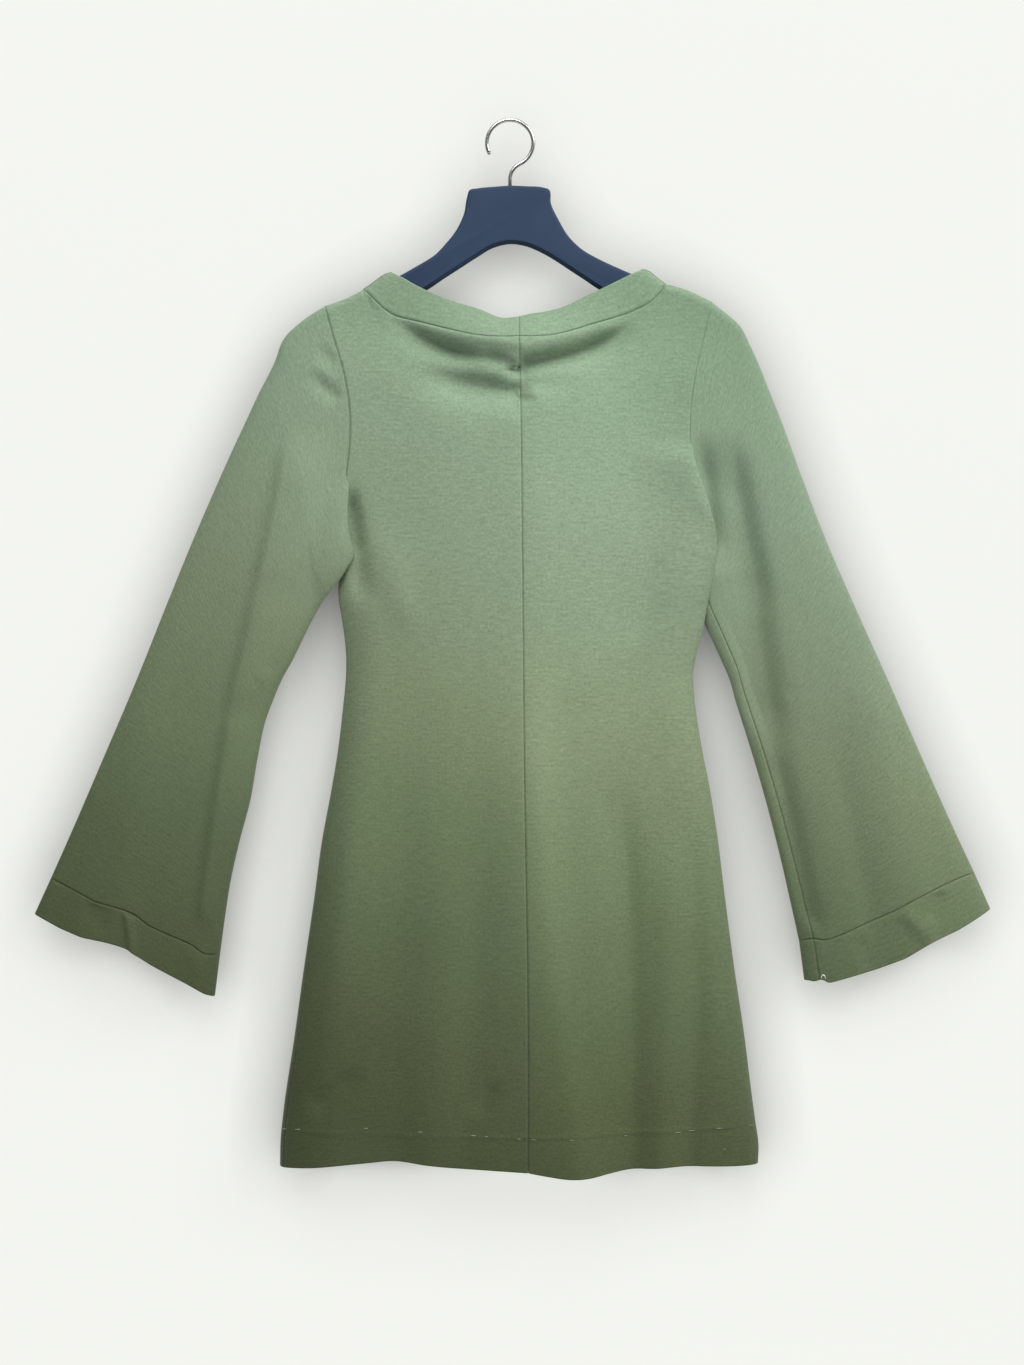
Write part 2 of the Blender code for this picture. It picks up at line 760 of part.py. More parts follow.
for side in ("left", "right"):
    for near in (True, False):
        grid = halves[side, near][0]
        for where, direction in edges_of(side, grid, near):
            widen(grid, where, direction, GAP / 2)

sides = {"left": np.array([1.0, 0.0, 0.0]), "right": np.array([-1.0, 0.0, 0.0])}
for side in ("left", "right"):
    grid = halves[side, True][0].copy()
    edges = edges_of(side, grid, True)
    across = np.tile(sides[side], (grid.shape[0], 1))
    widen(grid, (slice(None), 0), across, GAP / 2)
    edges.append(((slice(None), 0), across))
    panel("back_" + side, grid, edges, cloth["back_" + side])

left_half = halves["left", False][0]
right_half = halves["right", False][0]
whole = np.concatenate([left_half[:, ::-1], right_half[:, 1:]], axis=1)
count = left_half.shape[1]
edges = []
for (row, column), direction in edges_of("right", right_half, False):
    if isinstance(column, slice):
        column = slice(count - 1 + column.start, count - 1 + column.stop)
    edges.append(((row, column), direction))
for (row, column), direction in edges_of("left", left_half, False):
    if isinstance(column, slice):
        column = slice(count - column.stop, count - column.start)
        direction = direction[::-1]
    else:
        column = 0
    edges.append(((row, column), direction))
panel("front", whole, edges, cloth["front"])

# Neckbands: strips of folded cloth that lean back from the seam to the neck edge
bands = [
    ("neckband_back_left", NECK_SEAM_NEAR_LEFT, NECK_EDGE_NEAR_LEFT, -1.0),
    ("neckband_back_right", NECK_SEAM_NEAR_RIGHT, NECK_EDGE_NEAR_RIGHT, -1.0),
]


def band_grid(seam, edge, facing, side):
    """Points of a neckband half from the neck edge down to the seam, and the way across the seam."""
    low = curve(seam)(NECK_STEPS)
    high = curve(edge)(NECK_STEPS)
    low = np.stack([low[:, 0], facing * low[:, 2], low[:, 1]], axis=-1)
    high = np.stack([high[:, 0], facing * high[:, 2], high[:, 1]], axis=-1)
    way = neck_way(low, side)
    # The tight turn beside the shoulder seam needs a little more room
    room = np.full((len(way), 1), GAP / 2)
    room[-CORNER_COLUMNS:] += CORNER_ROOM
    low = low + way * room
    share = np.linspace(0.0, 1.0, BAND_ROWS + 1)[:, None, None]
    grid = high[None] * (1 - share) + low[None] * share
    belly = BAND_BELLY * np.sin(np.pi * share[..., 0]) * np.sin(np.pi * np.array(NECK_STEPS) / 2 + np.pi / 2)
    grid[..., 1] = grid[..., 1] + facing * belly
    grid[:, -1, 1] = facing * GAP / 2
    return grid, -way


def band(name, grid, facing, edges, material):
    """A neckband solid."""
    out = normals(grid)
    if out[BAND_ROWS // 2, grid.shape[1] // 2, 1] * facing < 0:
        out = -out
    inward = -out
    for where, direction in edges:
        inward[where] = keep_off(inward[where], direction)
    return solid(name, grid, grid + inward * BAND_WALL, False, material)


for name, seam, edge, facing in bands:
    side = "left" if name.endswith("left") else "right"
    grid, off = band_grid(seam, edge, facing, side)
    across = np.tile(sides[side], (BAND_ROWS + 1, 1))
    widen(grid, (slice(None), 0), across, GAP / 2)
    back = np.tile(np.array([0.0, -facing, 0.0]), (BAND_ROWS + 1, 1))
    around = [((slice(None), 0), across), ((slice(None), -1), back), ((-1, slice(None)), off)]
    band(name, grid, facing, around, cloth[name])
left_band, left_off = band_grid(NECK_SEAM_FAR_LEFT, NECK_EDGE_FAR_LEFT, 1.0, "left")
right_band, right_off = band_grid(NECK_SEAM_FAR_RIGHT, NECK_EDGE_FAR_RIGHT, 1.0, "right")
whole_band = np.concatenate([left_band[:, ::-1], right_band[:, 1:]], axis=1)
back = np.tile(np.array([0.0, -1.0, 0.0]), (BAND_ROWS + 1, 1))
off = np.concatenate([left_off[::-1], right_off[1:]])
around = [((slice(None), 0), back), ((slice(None), -1), back), ((-1, slice(None)), off)]
band("neckband_front", whole_band, 1.0, around, cloth["neckband_front"])

# Sleeves start from the armhole's own points and open into the bell; the cuffs carry on from them
for side in ("left", "right"):
    sign = -1.0 if side == "left" else 1.0
    near_arm = halves[side, True][0][:arm_rows, -1].copy()
    far_arm = halves[side, False][0][:arm_rows, -1].copy()
    way = arm_way(side)
    near_arm = near_arm + way * GAP
    far_arm = far_arm + way * GAP
    top_point = (near_arm[0] + far_arm[0]) / 2
    low_point = (near_arm[-1] + far_arm[-1]) / 2
    first = np.vstack([top_point, near_arm[1:-1], low_point, far_arm[-2:0:-1]])
    outer = curve(OUTER[side])
    inner = curve(INNER[side])
    line = inner(0.0) - outer(0.0)
    share = ((first[:, [0, 2]] - outer(0.0)) @ line) / (line @ line)
    share[0] = 0.0
    share[arm_rows - 1] = 1.0
    bow = first[:, [0, 2]] - (outer(0.0) + share[:, None] * line)
    facing = np.ones(len(share))
    facing[:arm_rows] = -1.0
    facing[0] = 0.0
    facing[arm_rows - 1] = 0.0
    fullness = (4 * share * (1 - share)).clip(0.0, 1.0) ** SLEEVE_FULLNESS
    table = np.array(SLEEVE_DEPTH[side])
    rings = []
    for t in SLEEVE_STEPS:
        half = np.interp(t, table[:, 0], table[:, 1])
        sag = np.interp(t, table[:, 0], table[:, 2])
        shift = np.interp(t, table[:, 0], table[:, 3])
        blend = ease(t / SLEEVE_BLEND)
        start = outer(t)
        across = inner(t**INNER_LAG) - start
        flat = start + share[:, None] * across + bow * (1 - ease(t / (2 * SLEEVE_BLEND)))
        depth = half * fullness * facing - shift * share
        y = first[:, 1] * (1 - blend) + depth * blend
        folds = fold_shift(flat[:, 0], flat[:, 1], SLEEVE_FOLDS[side])
        y = y - facing * folds * np.minimum(1.0, SLEEVE_FOLD_REACH * share * (1 - share)) * blend
        z = flat[:, 1] + sag * 4 * share * (1 - share)
        rings.append(np.stack([flat[:, 0], y, z], axis=-1))
    rings = np.array(rings)
    end_way = np.array([np.append(outer(1.0) - outer(SLEEVE_BEFORE_END), 0.0)[[0, 2, 1]]])
    end_way = end_way / np.linalg.norm(end_way)
    seam_ring = rings[-1].copy()
    rings[-1] = rings[-1] - end_way * GAP / 2
    start_way = np.vstack([-way, -way[-2:0:-1]])
    tube("sleeve_" + side, rings, start_way, end_way, WALL, cloth["sleeve_" + side])

    cuff_outer = curve(CUFF_OUTER[side])
    cuff_inner = curve(CUFF_INNER[side])
    half_top, half_low, sag_top, sag_low = CUFF_DEPTH[side]
    cuff_rings = []
    for t in CUFF_STEPS:
        start = cuff_outer(t)
        across = cuff_inner(t) - start
        flat = start + share[:, None] * across
        fresh = (half_top + (half_low - half_top) * t) * fullness * facing
        y = seam_ring[:, 1] + (fresh - half_top * fullness * facing)
        z = flat[:, 1] + (sag_top + (sag_low - sag_top) * t) * 4 * share * (1 - share)
        cuff_rings.append(np.stack([flat[:, 0], y, z], axis=-1))
    cuff_rings = np.array(cuff_rings)
    cuff_rings[0] = cuff_rings[0] + end_way * GAP / 2
    tube("cuff_" + side, cuff_rings, -end_way, end_way, BAND_WALL, cloth["cuff_" + side])


# Hanger: one moulded bar from arm end to arm end, whose top edge carries the shoulders
def arm_top(x):
    """Height of the arm's top edge."""
    sleeve_left = np.array(OUTER["left"])[ARM_COVER_ROWS - 1 : 0 : -1]
    sleeve_right = np.array(OUTER["right"])[1:ARM_COVER_ROWS]
    cover_left = np.vstack([sleeve_left, np.array(SHOULDER["left"])[::-1], [ARM_LEAVES_LEFT]])
    cover_right = np.vstack([[ARM_LEAVES_RIGHT], np.array(SHOULDER["right"]), sleeve_right])
    bare = np.array(HANGER_TOP)
    line = np.vstack([cover_left, bare[1:-1] + [0.0, ARM_CLEAR], cover_right])
    slope = np.gradient(line[:, 1], line[:, 0])
    covered = (x < bare[0, 0]) | (x > bare[-1, 0])
    steep = np.sqrt(1 + np.interp(x, line[:, 0], slope) ** 2) if covered else 1.0
    clear = ARM_CLEAR
    if covered and SHOULDER["left"][0][0] < x < SHOULDER["right"][0][0] + BAND_CLEAR:
        clear = ARM_CLEAR + BAND_CLEAR
    return np.interp(x, line[:, 0], line[:, 1]) - clear * steep


stations = sorted({row[0] for row in HANGER_TOP[1:-1]} | {row[0] for row in HANGER_BOTTOM})
stations = [x for x in stations if ARM_END_LEFT <= x <= ARM_END_RIGHT]
low_line = np.array(HANGER_BOTTOM)
angle = np.linspace(0.0, 2 * np.pi, ARM_SECTION_POINTS, endpoint=False)
width = np.sign(np.cos(angle)) * np.abs(np.cos(angle)) ** ARM_SQUARENESS
height = np.sign(np.sin(angle)) * np.abs(np.sin(angle)) ** ARM_SQUARENESS
sections = []
for x in stations:
    high = float(arm_top(x))
    low = float(np.interp(x, low_line[:, 0], low_line[:, 1]))
    end = min(x - ARM_END_LEFT, ARM_END_RIGHT - x)
    half = ARM_HALF * (ARM_END_HALF + (1 - ARM_END_HALF) * ease(end / ARM_END_TAPER))
    if end < ARM_END_ROUND:
        high = high - ARM_END_DROP
    middle = (high + low) / 2
    ring = np.stack([np.full(len(angle), x), half * width, middle + (high - low) / 2 * height], axis=-1)
    sections.append(ring)


def rod(name, rings, material):
    """A solid bar through rings, closed by flat ends."""
    mesh = bpy.data.meshes.new(name)
    build = bmesh.new()
    lines = [[build.verts.new(tuple(p * MM)) for p in ring] for ring in rings]
    count = len(rings[0])
    for i in range(len(lines) - 1):
        for j in range(count):
            k = (j + 1) % count
            build.faces.new([lines[i][j], lines[i][k], lines[i + 1][k], lines[i + 1][j]])
    build.faces.new(lines[0])
    build.faces.new(lines[-1])
    bmesh.ops.recalc_face_normals(build, faces=build.faces)
    build.to_mesh(mesh)
    build.free()
    for polygon in mesh.polygons:
        polygon.use_smooth = True
    mesh.materials.append(material)
    obj = bpy.data.objects.new(name, mesh)
    bpy.context.scene.collection.objects.link(obj)
    return obj


hanger = rod("hanger", sections, paint("hanger", HANGER_COLOUR, HANGER_ROUGHNESS))
bore_angle = np.linspace(0.0, 2 * np.pi, 2 * HOOK_POINTS, endpoint=False)
bore = HOOK_WIRE + GAP
socket_rings = []
for z in (STEM_END - GAP, STEM_END + SOCKET_DEEP + SOCKET_TOP):
    level = np.full(len(bore_angle), z)
    socket_rings.append(np.stack([bore * np.cos(bore_angle), bore * np.sin(bore_angle), level], axis=-1))
socket = rod("socket", socket_rings, paint("socket", HANGER_COLOUR, HANGER_ROUGHNESS))
cut = hanger.modifiers.new("socket", "BOOLEAN")
cut.operation = "DIFFERENCE"
cut.solver = "EXACT"
cut.object = socket
depsgraph = bpy.context.evaluated_depsgraph_get()
bored = bpy.data.meshes.new_from_object(hanger.evaluated_get(depsgraph))
hanger.modifiers.clear()
hanger.data = bored
bpy.data.objects.remove(socket, do_unlink=True)

# Hook: round steel wire, a stem in the head's socket, a reverse bend, then the arc that hangs on a rail
radius = HOOK_INNER + HOOK_WIRE
centre_z = -HOOK_INNER
arc = np.radians(np.linspace(HOOK_TIP_ANGLE, HOOK_TURN_ANGLE, HOOK_ARC_POINTS))
path = [(radius * np.cos(a), centre_z + radius * np.sin(a)) for a in arc]
turn_from = np.radians(HOOK_TURN_ANGLE)
heading = np.arctan2(-np.cos(turn_from), np.sin(turn_from))
last = path[-1]
bend = last[0] / (1.0 + np.sin(heading))
for turn in np.linspace(heading, -np.pi / 2, HOOK_BEND_POINTS)[1:]:
    bend_x = last[0] + bend * (np.sin(turn) - np.sin(heading))
    bend_z = last[1] + bend * (np.cos(heading) - np.cos(turn))
    path.append((bend_x, bend_z))
path.append((0.0, (path[-1][1] + STEM_END) / 2))
path.append((0.0, STEM_END))
path = np.array(path)
tangent = np.gradient(path, axis=0)
tangent = tangent / np.linalg.norm(tangent, axis=-1, keepdims=True)
wire_angle = np.linspace(0.0, 2 * np.pi, HOOK_POINTS, endpoint=False)
wire = []
for (x, z), (tx, tz) in zip(path, tangent):
    across = np.stack([-tz * np.cos(wire_angle), np.sin(wire_angle), tx * np.cos(wire_angle)], axis=-1)
    wire.append(np.array([x, 0.0, z]) + HOOK_WIRE * across)
rod("hanger_hook", wire, paint("hanger_hook", STEEL_COLOUR, STEEL_ROUGHNESS, metallic=1.0))
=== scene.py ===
import bmesh
import bpy
import numpy as np
from mathutils import Matrix, Vector, noise


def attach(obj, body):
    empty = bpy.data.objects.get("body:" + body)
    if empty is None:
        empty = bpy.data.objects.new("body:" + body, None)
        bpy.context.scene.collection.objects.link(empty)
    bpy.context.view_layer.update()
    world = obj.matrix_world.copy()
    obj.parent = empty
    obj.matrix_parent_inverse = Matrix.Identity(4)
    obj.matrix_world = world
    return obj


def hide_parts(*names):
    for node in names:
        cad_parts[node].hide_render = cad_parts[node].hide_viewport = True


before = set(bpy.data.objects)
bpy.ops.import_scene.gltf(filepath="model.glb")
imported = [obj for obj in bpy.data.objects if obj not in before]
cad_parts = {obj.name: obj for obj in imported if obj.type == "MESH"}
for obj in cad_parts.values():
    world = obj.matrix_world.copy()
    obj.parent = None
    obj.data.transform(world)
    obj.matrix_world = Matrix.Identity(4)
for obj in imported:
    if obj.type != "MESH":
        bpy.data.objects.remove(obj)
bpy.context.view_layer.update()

# Camera: level and square on to the back of the dress, a little below the middle of its length.
# Its lens is long, so that the sides of the sleeves and the hem are seen almost without perspective.
view_from = bpy.data.objects.new("camera", bpy.data.cameras.new("camera"))
bpy.context.scene.collection.objects.link(view_from)
view_from.location = (0.0019, -3.2, -0.5325)
view_from.rotation_euler = (np.pi / 2, 0.0, 0.0)
view_from.data.lens = 88.84
view_from.data.sensor_width = 36.0
bpy.context.scene.camera = view_from

# Back of the dress: two panels of ponte, a firm double-knit jersey, sewn together down the centre.
# Each is cut with half the neckline, a shoulder, an armhole and a flared side, and its hem is turned
# up inside and blind-stitched. It hangs by the shoulders, so the cloth drags in soft folds at the neck.
MM = 0.001
TO_BACK = (0.0, -1.0, 0.0)
TO_FRONT = (0.0, 1.0, 0.0)
WALL = 0.9
SEAM_ROLL = 1.1
SEAM_ROLL_WIDTH = 0.85
CAP_RADIUS = 8.0
CAP_SPREAD = 16.0
CAP_RUN = 24.0
CAP_FREE = 25.0
TOP_SPREAD = 22.0
TOP_EASE = 90.0
SIDE_ROUND = 36.0
ARM_DEPTH = 17.0
UNDERARM_START = 0.80
SIDE_SHARE = 0.7
SEAM_TURN = {"left": 28.0, "right": -14.0}
HEM_DEEP = 38.0
HEM_TURN = 1.1
BODY_PITCH = 2.7
BODY_LUMP = 62.0
BODY_LUMP_HIGH = 0.55

# x, z, depth of the neck seam from the centre out
BACK_NECK = {
    "left": [
        (8.5, -205.8, 24), (-12.2, -206.2, 24), (-32.1, -204.6, 22), (-51, -200.6, 19.5), (-69, -196, 16),
        (-86.1, -191.4, 13), (-100.4, -187.8, 10.8), (-108.9, -185.3, 10.2), (-118.4, -179.6, 10.2),
        (-127, -171.9, 9.9), (-133.7, -164.9, 8.6), (-136.7, -162.1, 7.2), (-138.7, -160.4, 4.4),
        (-139.7, -159.6, 0),
    ],
    "right": [
        (8.5, -205.8, 24), (23.6, -205.8, 24), (39.6, -204.7, 22.5), (58.6, -200.1, 19.5),
        (75.6, -194.5, 16), (94.6, -188.6, 13), (112.7, -182.6, 10.8), (122.2, -178.2, 10.2),
        (130.8, -173.8, 10), (137.8, -167.6, 9.2), (142.6, -162.6, 8.4), (145.4, -157.6, 7),
        (146.8, -155, 4.4), (147.2, -153.8, 0),
    ],
}
# x, z down each line
SHOULDER = {
    "left": [(-139.7, -159.6), (-148.2, -164.2), (-156.8, -168.2), (-166.2, -171.8), (-175.8, -174.8)],
    "right": [(147.2, -153.8), (157.7, -156.3), (169.1, -160.1), (180.5, -165.3), (191.9, -171)],
}
ARMHOLE = {
    "left": [
        (-175.8, -174.8), (-167.4, -204.8), (-156.9, -240.9), (-152.2, -269.2), (-151, -291),
        (-153.5, -325), (-156.3, -345.7), (-158.7, -369.2), (-159.9, -395.5), (-160.2, -416.1),
    ],
    "right": [
        (191.9, -171), (183.4, -203.9), (174.9, -242.8), (171.1, -269.2), (170.2, -291), (170.5, -316.5),
        (175, -341.9), (180.6, -364.5), (184.6, -388), (185.6, -416.1),
    ],
}
SIDE = {
    "left": [
        (-160.2, -416.1), (-163.4, -450.3), (-160.1, -473.1), (-156.8, -496.8), (-155.8, -514.9),
        (-156.3, -532), (-158.7, -556.7), (-163.4, -596.6), (-170, -636.5), (-178.6, -683),
        (-186.2, -739.1), (-195.7, -803.7), (-205.2, -872.1), (-215.2, -939.5), (-218, -967.1),
        (-218.5, -990.8),
    ],
    "right": [
        (185.6, -416.1), (181.8, -439.8), (178.2, -461.7), (174.3, -491.1), (173.4, -514.9),
        (175.3, -549.1), (182.4, -596.6), (189, -629.9), (195.7, -669.8), (203.3, -729.6),
        (212.8, -801.8), (223.2, -872.1), (228.5, -914.8), (233.2, -950), (236.1, -970.9), (235.6, -988),
    ],
}
BACK_HEM = {
    "left": [
        (17, -993.1), (-18.8, -991.3), (-50.8, -989.5), (-79.1, -986.8), (-109.2, -983.1),
        (-134.7, -985.1), (-161.2, -987.3), (-188.9, -989.7), (-218.5, -990.8),
    ],
    "right": [
        (17, -993.1), (33.9, -995.8), (57.4, -998.5), (76.2, -997.7), (95.1, -994.1), (114.9, -990.5),
        (135.6, -989.7), (159.2, -987.9), (201.1, -988), (235.6, -988),
    ],
}
BACK_CENTRE = [(8.5, -205.8), (10.4, -290), (11.4, -379.5), (13.5, -620), (17, -860), (17, -993.1)]
# z, depth of the back and of the front at the centre
BODY_DEPTH = [
    (-140, 22, 20), (-230, 21, 21), (-300, 22, 23), (-420, 23, 25), (-520, 22, 24), (-650, 24, 26),
    (-800, 26, 28), (-1000, 30, 30),
]
# Folds as x, z of start, middle and end, half width above or left, half width below or right,
# depth (ridges negative), fade in, fade out
BACK_FOLDS = [
    (-119, -188, -62, -216, 0, -231, 5.5, 13, 12.5, 0.6, 0.45),
    (-28, -222.5, -12, -227.5, 1, -233, 6, 10, 5.5, 0.6, 0),
    (124, -192, 60, -221, 16, -231.5, 5.5, 13, 14.5, 0.5, 0),
    (-94, -236, -44, -249.5, 1, -258.5, 12, 16, 12, 0.6, 0),
    (16, -251, 42, -248, 70, -239, 9, 12, 6, 0, 0.8),
    (-100, -224, -52, -262, 4, -282, 14, 22, 2.4, 0.4, 0.3),
    (-104, -189, -54, -203, 3, -213, 6, 6, -2.6, 0.3, 0),
    (108, -189, 56, -205.5, 15, -214, 6, 6, -2.6, 0.3, 0),
    (-157, -330, -152, -392, -138, -462, 10, 11, 8.5, 0.3, 0.45),
    (-153, -345, -148, -385, -146, -418, 7, 6, 10.5, 0.35, 0.25),
    (-158, -412, -148, -432, -140, -470, 12, 14, 4, 0.25, 0.5),
    (-118, -380, -108, -440, -84, -500, 15, 15, -2.4, 0.4, 0.4),
    (156, -330, 148, -370, 144, -410, 16, 12, 1.2, 0.4, 0.5),
    (46, -560, 84, -520, 124, -470, 16, 16, -2.2, 0.4, 0.4),
    (10, -480, 24, -700, 62, -1000, 44, 23, -10.5, 0.35, 0),
    (100, -600, 112, -760, 114, -1000, 24, 15, 6.5, 0.3, 0),
    (148, -640, 150, -760, 144, -1000, 12, 14, -2.6, 0.3, 0),
    (174, -640, 178, -760, 170, -1000, 10, 10, 2.6, 0.3, 0),
    (-96, -500, -104, -720, -112, -1000, 34, 28, 5, 0.4, 0),
    (-30, -640, -34, -820, -44, -1000, 22, 22, 3.4, 0.45, 0),
    (-150, -600, -160, -780, -172, -1000, 20, 20, -2.4, 0.4, 0),
    (-138, -894, -166, -920, -196, -938, 13, 13, 4.5, 0.4, 0.3),
    (-8, -906, -22, -926, -38, -944, 11, 10, 2.8, 0.4, 0.4),
    (-219, -956, 8, -961, 236, -951, 2.6, 1.8, -0.7, 0, 0),
]
# z, how far the cloth's roll at the low armhole reaches over its neighbour
ARMHOLE_ROLL = {
    "left": [(-330, 0), (-345, 1.2), (-360, 1.6), (-383, 2.2), (-403, 2.8), (-416, 2.4), (-430, 0)],
    "right": [
        (-300, 0), (-325, 2.5), (-343, 4.5), (-360, 6), (-379, 7.2), (-399, 4.6), (-416, 3), (-440, 2.4),
        (-463, 1.4), (-525, 0),
    ],
}
ROLL_PEAK = 8.0
ROLL_TOP = 17.0
ROLL_END = 60.0
ROLL_RISE = {"left": 9.0, "right": 5.0}
ROLL_FULL = 2.6
HEM_STITCH = 35.0
UNDERARM_SEAM = 0.925


def curve(points, samples=24):
    """A smooth line through a table's rows, asked for by the share of its length."""
    rows = np.array(points, float)
    chord = np.concatenate([[0.0], np.cumsum(np.linalg.norm(np.diff(rows[:, :2], axis=0), axis=1))])
    slope = np.gradient(rows, chord, axis=0)
    fine = []
    for i in range(len(rows) - 1):
        step = chord[i + 1] - chord[i]
        t = np.linspace(0.0, 1.0, samples, endpoint=False)[:, None]
        fine.append(
            (2 * t**3 - 3 * t**2 + 1) * rows[i]
            + (t**3 - 2 * t**2 + t) * step * slope[i]
            + (3 * t**2 - 2 * t**3) * rows[i + 1]
            + (t**3 - t**2) * step * slope[i + 1]
        )
    fine = np.vstack(fine + [rows[-1:]])
    length = np.concatenate([[0.0], np.cumsum(np.linalg.norm(np.diff(fine[:, :2], axis=0), axis=1))])

    def at(share):
        wanted = np.asarray(share, float) * length[-1]
        return np.stack([np.interp(wanted, length, fine[:, k]) for k in range(fine.shape[1])], axis=-1)

    at.length = length[-1]
    return at


def ease(t):
    t = np.clip(t, 0.0, 1.0)
    return t * t * (3.0 - 2.0 * t)


def steps(length, pitch, start=True, end=True, count_for=None):
    """Shares of a length, an even pitch apart and closer beside a seam at either end."""
    close = np.array([0.0, 0.45, 0.9, 1.45, 2.1, 2.9, 3.9, 5.2, 6.9, 9.2])
    low = close if start else np.array([0.0])
    high = length - (close if end else np.array([0.0]))
    between = np.linspace(low[-1], high[-1], int((count_for or length) / pitch) + 2)[1:-1]
    return np.concatenate([low, between, high[::-1]]) / length


def fold_shift(x, z, folds):
    """How far inwards the cloth goes at x, z because of the folds in a table."""
    shift = np.zeros(np.shape(x))
    share = np.linspace(0.0, 1.0, 49)
    for x0, z0, x1, z1, x2, z2, above, below, depth, fade_in, fade_out in folds:
        line = curve([(x0, z0), (x1, z1), (x2, z2)])
        points = line(share)
        half_step = line.length * share[1] / 2
        heading = np.gradient(points, axis=0)
        heading = heading / np.linalg.norm(heading, axis=1, keepdims=True)
        square = np.stack([-heading[:, 1], heading[:, 0]], axis=-1)
        square = square * np.sign(square[:, 1:] - square[:, :1])
        best = np.full(np.shape(x), 1e9)
        run = np.zeros(np.shape(x))
        width = np.full(np.shape(x), above)
        for (px, pz), (hx, hz), (sx, sz), s in zip(points, heading, square, share):
            along = (x - px) * hx + (z - pz) * hz
            beside = (x - px) * sx + (z - pz) * sz
            past = np.maximum(np.abs(along) - half_step, 0.0)
            away = beside**2 + past**2
            nearer = away < best
            run = np.where(nearer, s + np.clip(along, -half_step, half_step) / line.length, run)
            width = np.where(nearer, np.where(beside > 0, above, below), width)
            best = np.where(nearer, away, best)
        level = ease(run / fade_in) if fade_in else 1.0
        level = level * (ease((1.0 - run) / fade_out) if fade_out else 1.0)
        shift = shift + depth * level * np.exp(-best / width**2)
    return shift


def lumps(x, z, size, seed):
    """Slow unevenness of hanging cloth, from -1 to 1, with lumps of about this size in millimetres."""
    flat_x = np.ravel(x) / size
    flat_z = np.ravel(z) / size
    found = [noise.noise(Vector((across, up, seed))) for across, up in zip(flat_x, flat_z)]
    return np.reshape(found, np.shape(x))


def roll(distance, peak):
    """A roll of cloth beside a seam: none at the seam, full at its peak, fading out past it."""
    rising = np.sin(np.pi / 2 * np.clip(distance / peak, 0.0, 1.0))
    fading = ease((ROLL_END - distance) / (ROLL_END - peak))
    return rising * fading


def seam_roll(distance):
    """How far an edge of cloth dips into its seam."""
    return SEAM_ROLL * np.exp(-((distance / SEAM_ROLL_WIDTH) ** 2))


def roll_reach(side, z):
    """How far the roll at a low armhole reaches at this height."""
    return np.interp(-z, [-row[0] for row in ARMHOLE_ROLL[side]], [row[1] for row in ARMHOLE_ROLL[side]])


def evened(x, values, width):
    """Values along a line, each the mean of its neighbours within about this width."""
    weight = np.exp(-(((x[:, None] - x[None]) / width) ** 2)) * np.gradient(np.abs(x))[None]
    return (weight * values[None]).sum(1) / weight.sum(1)


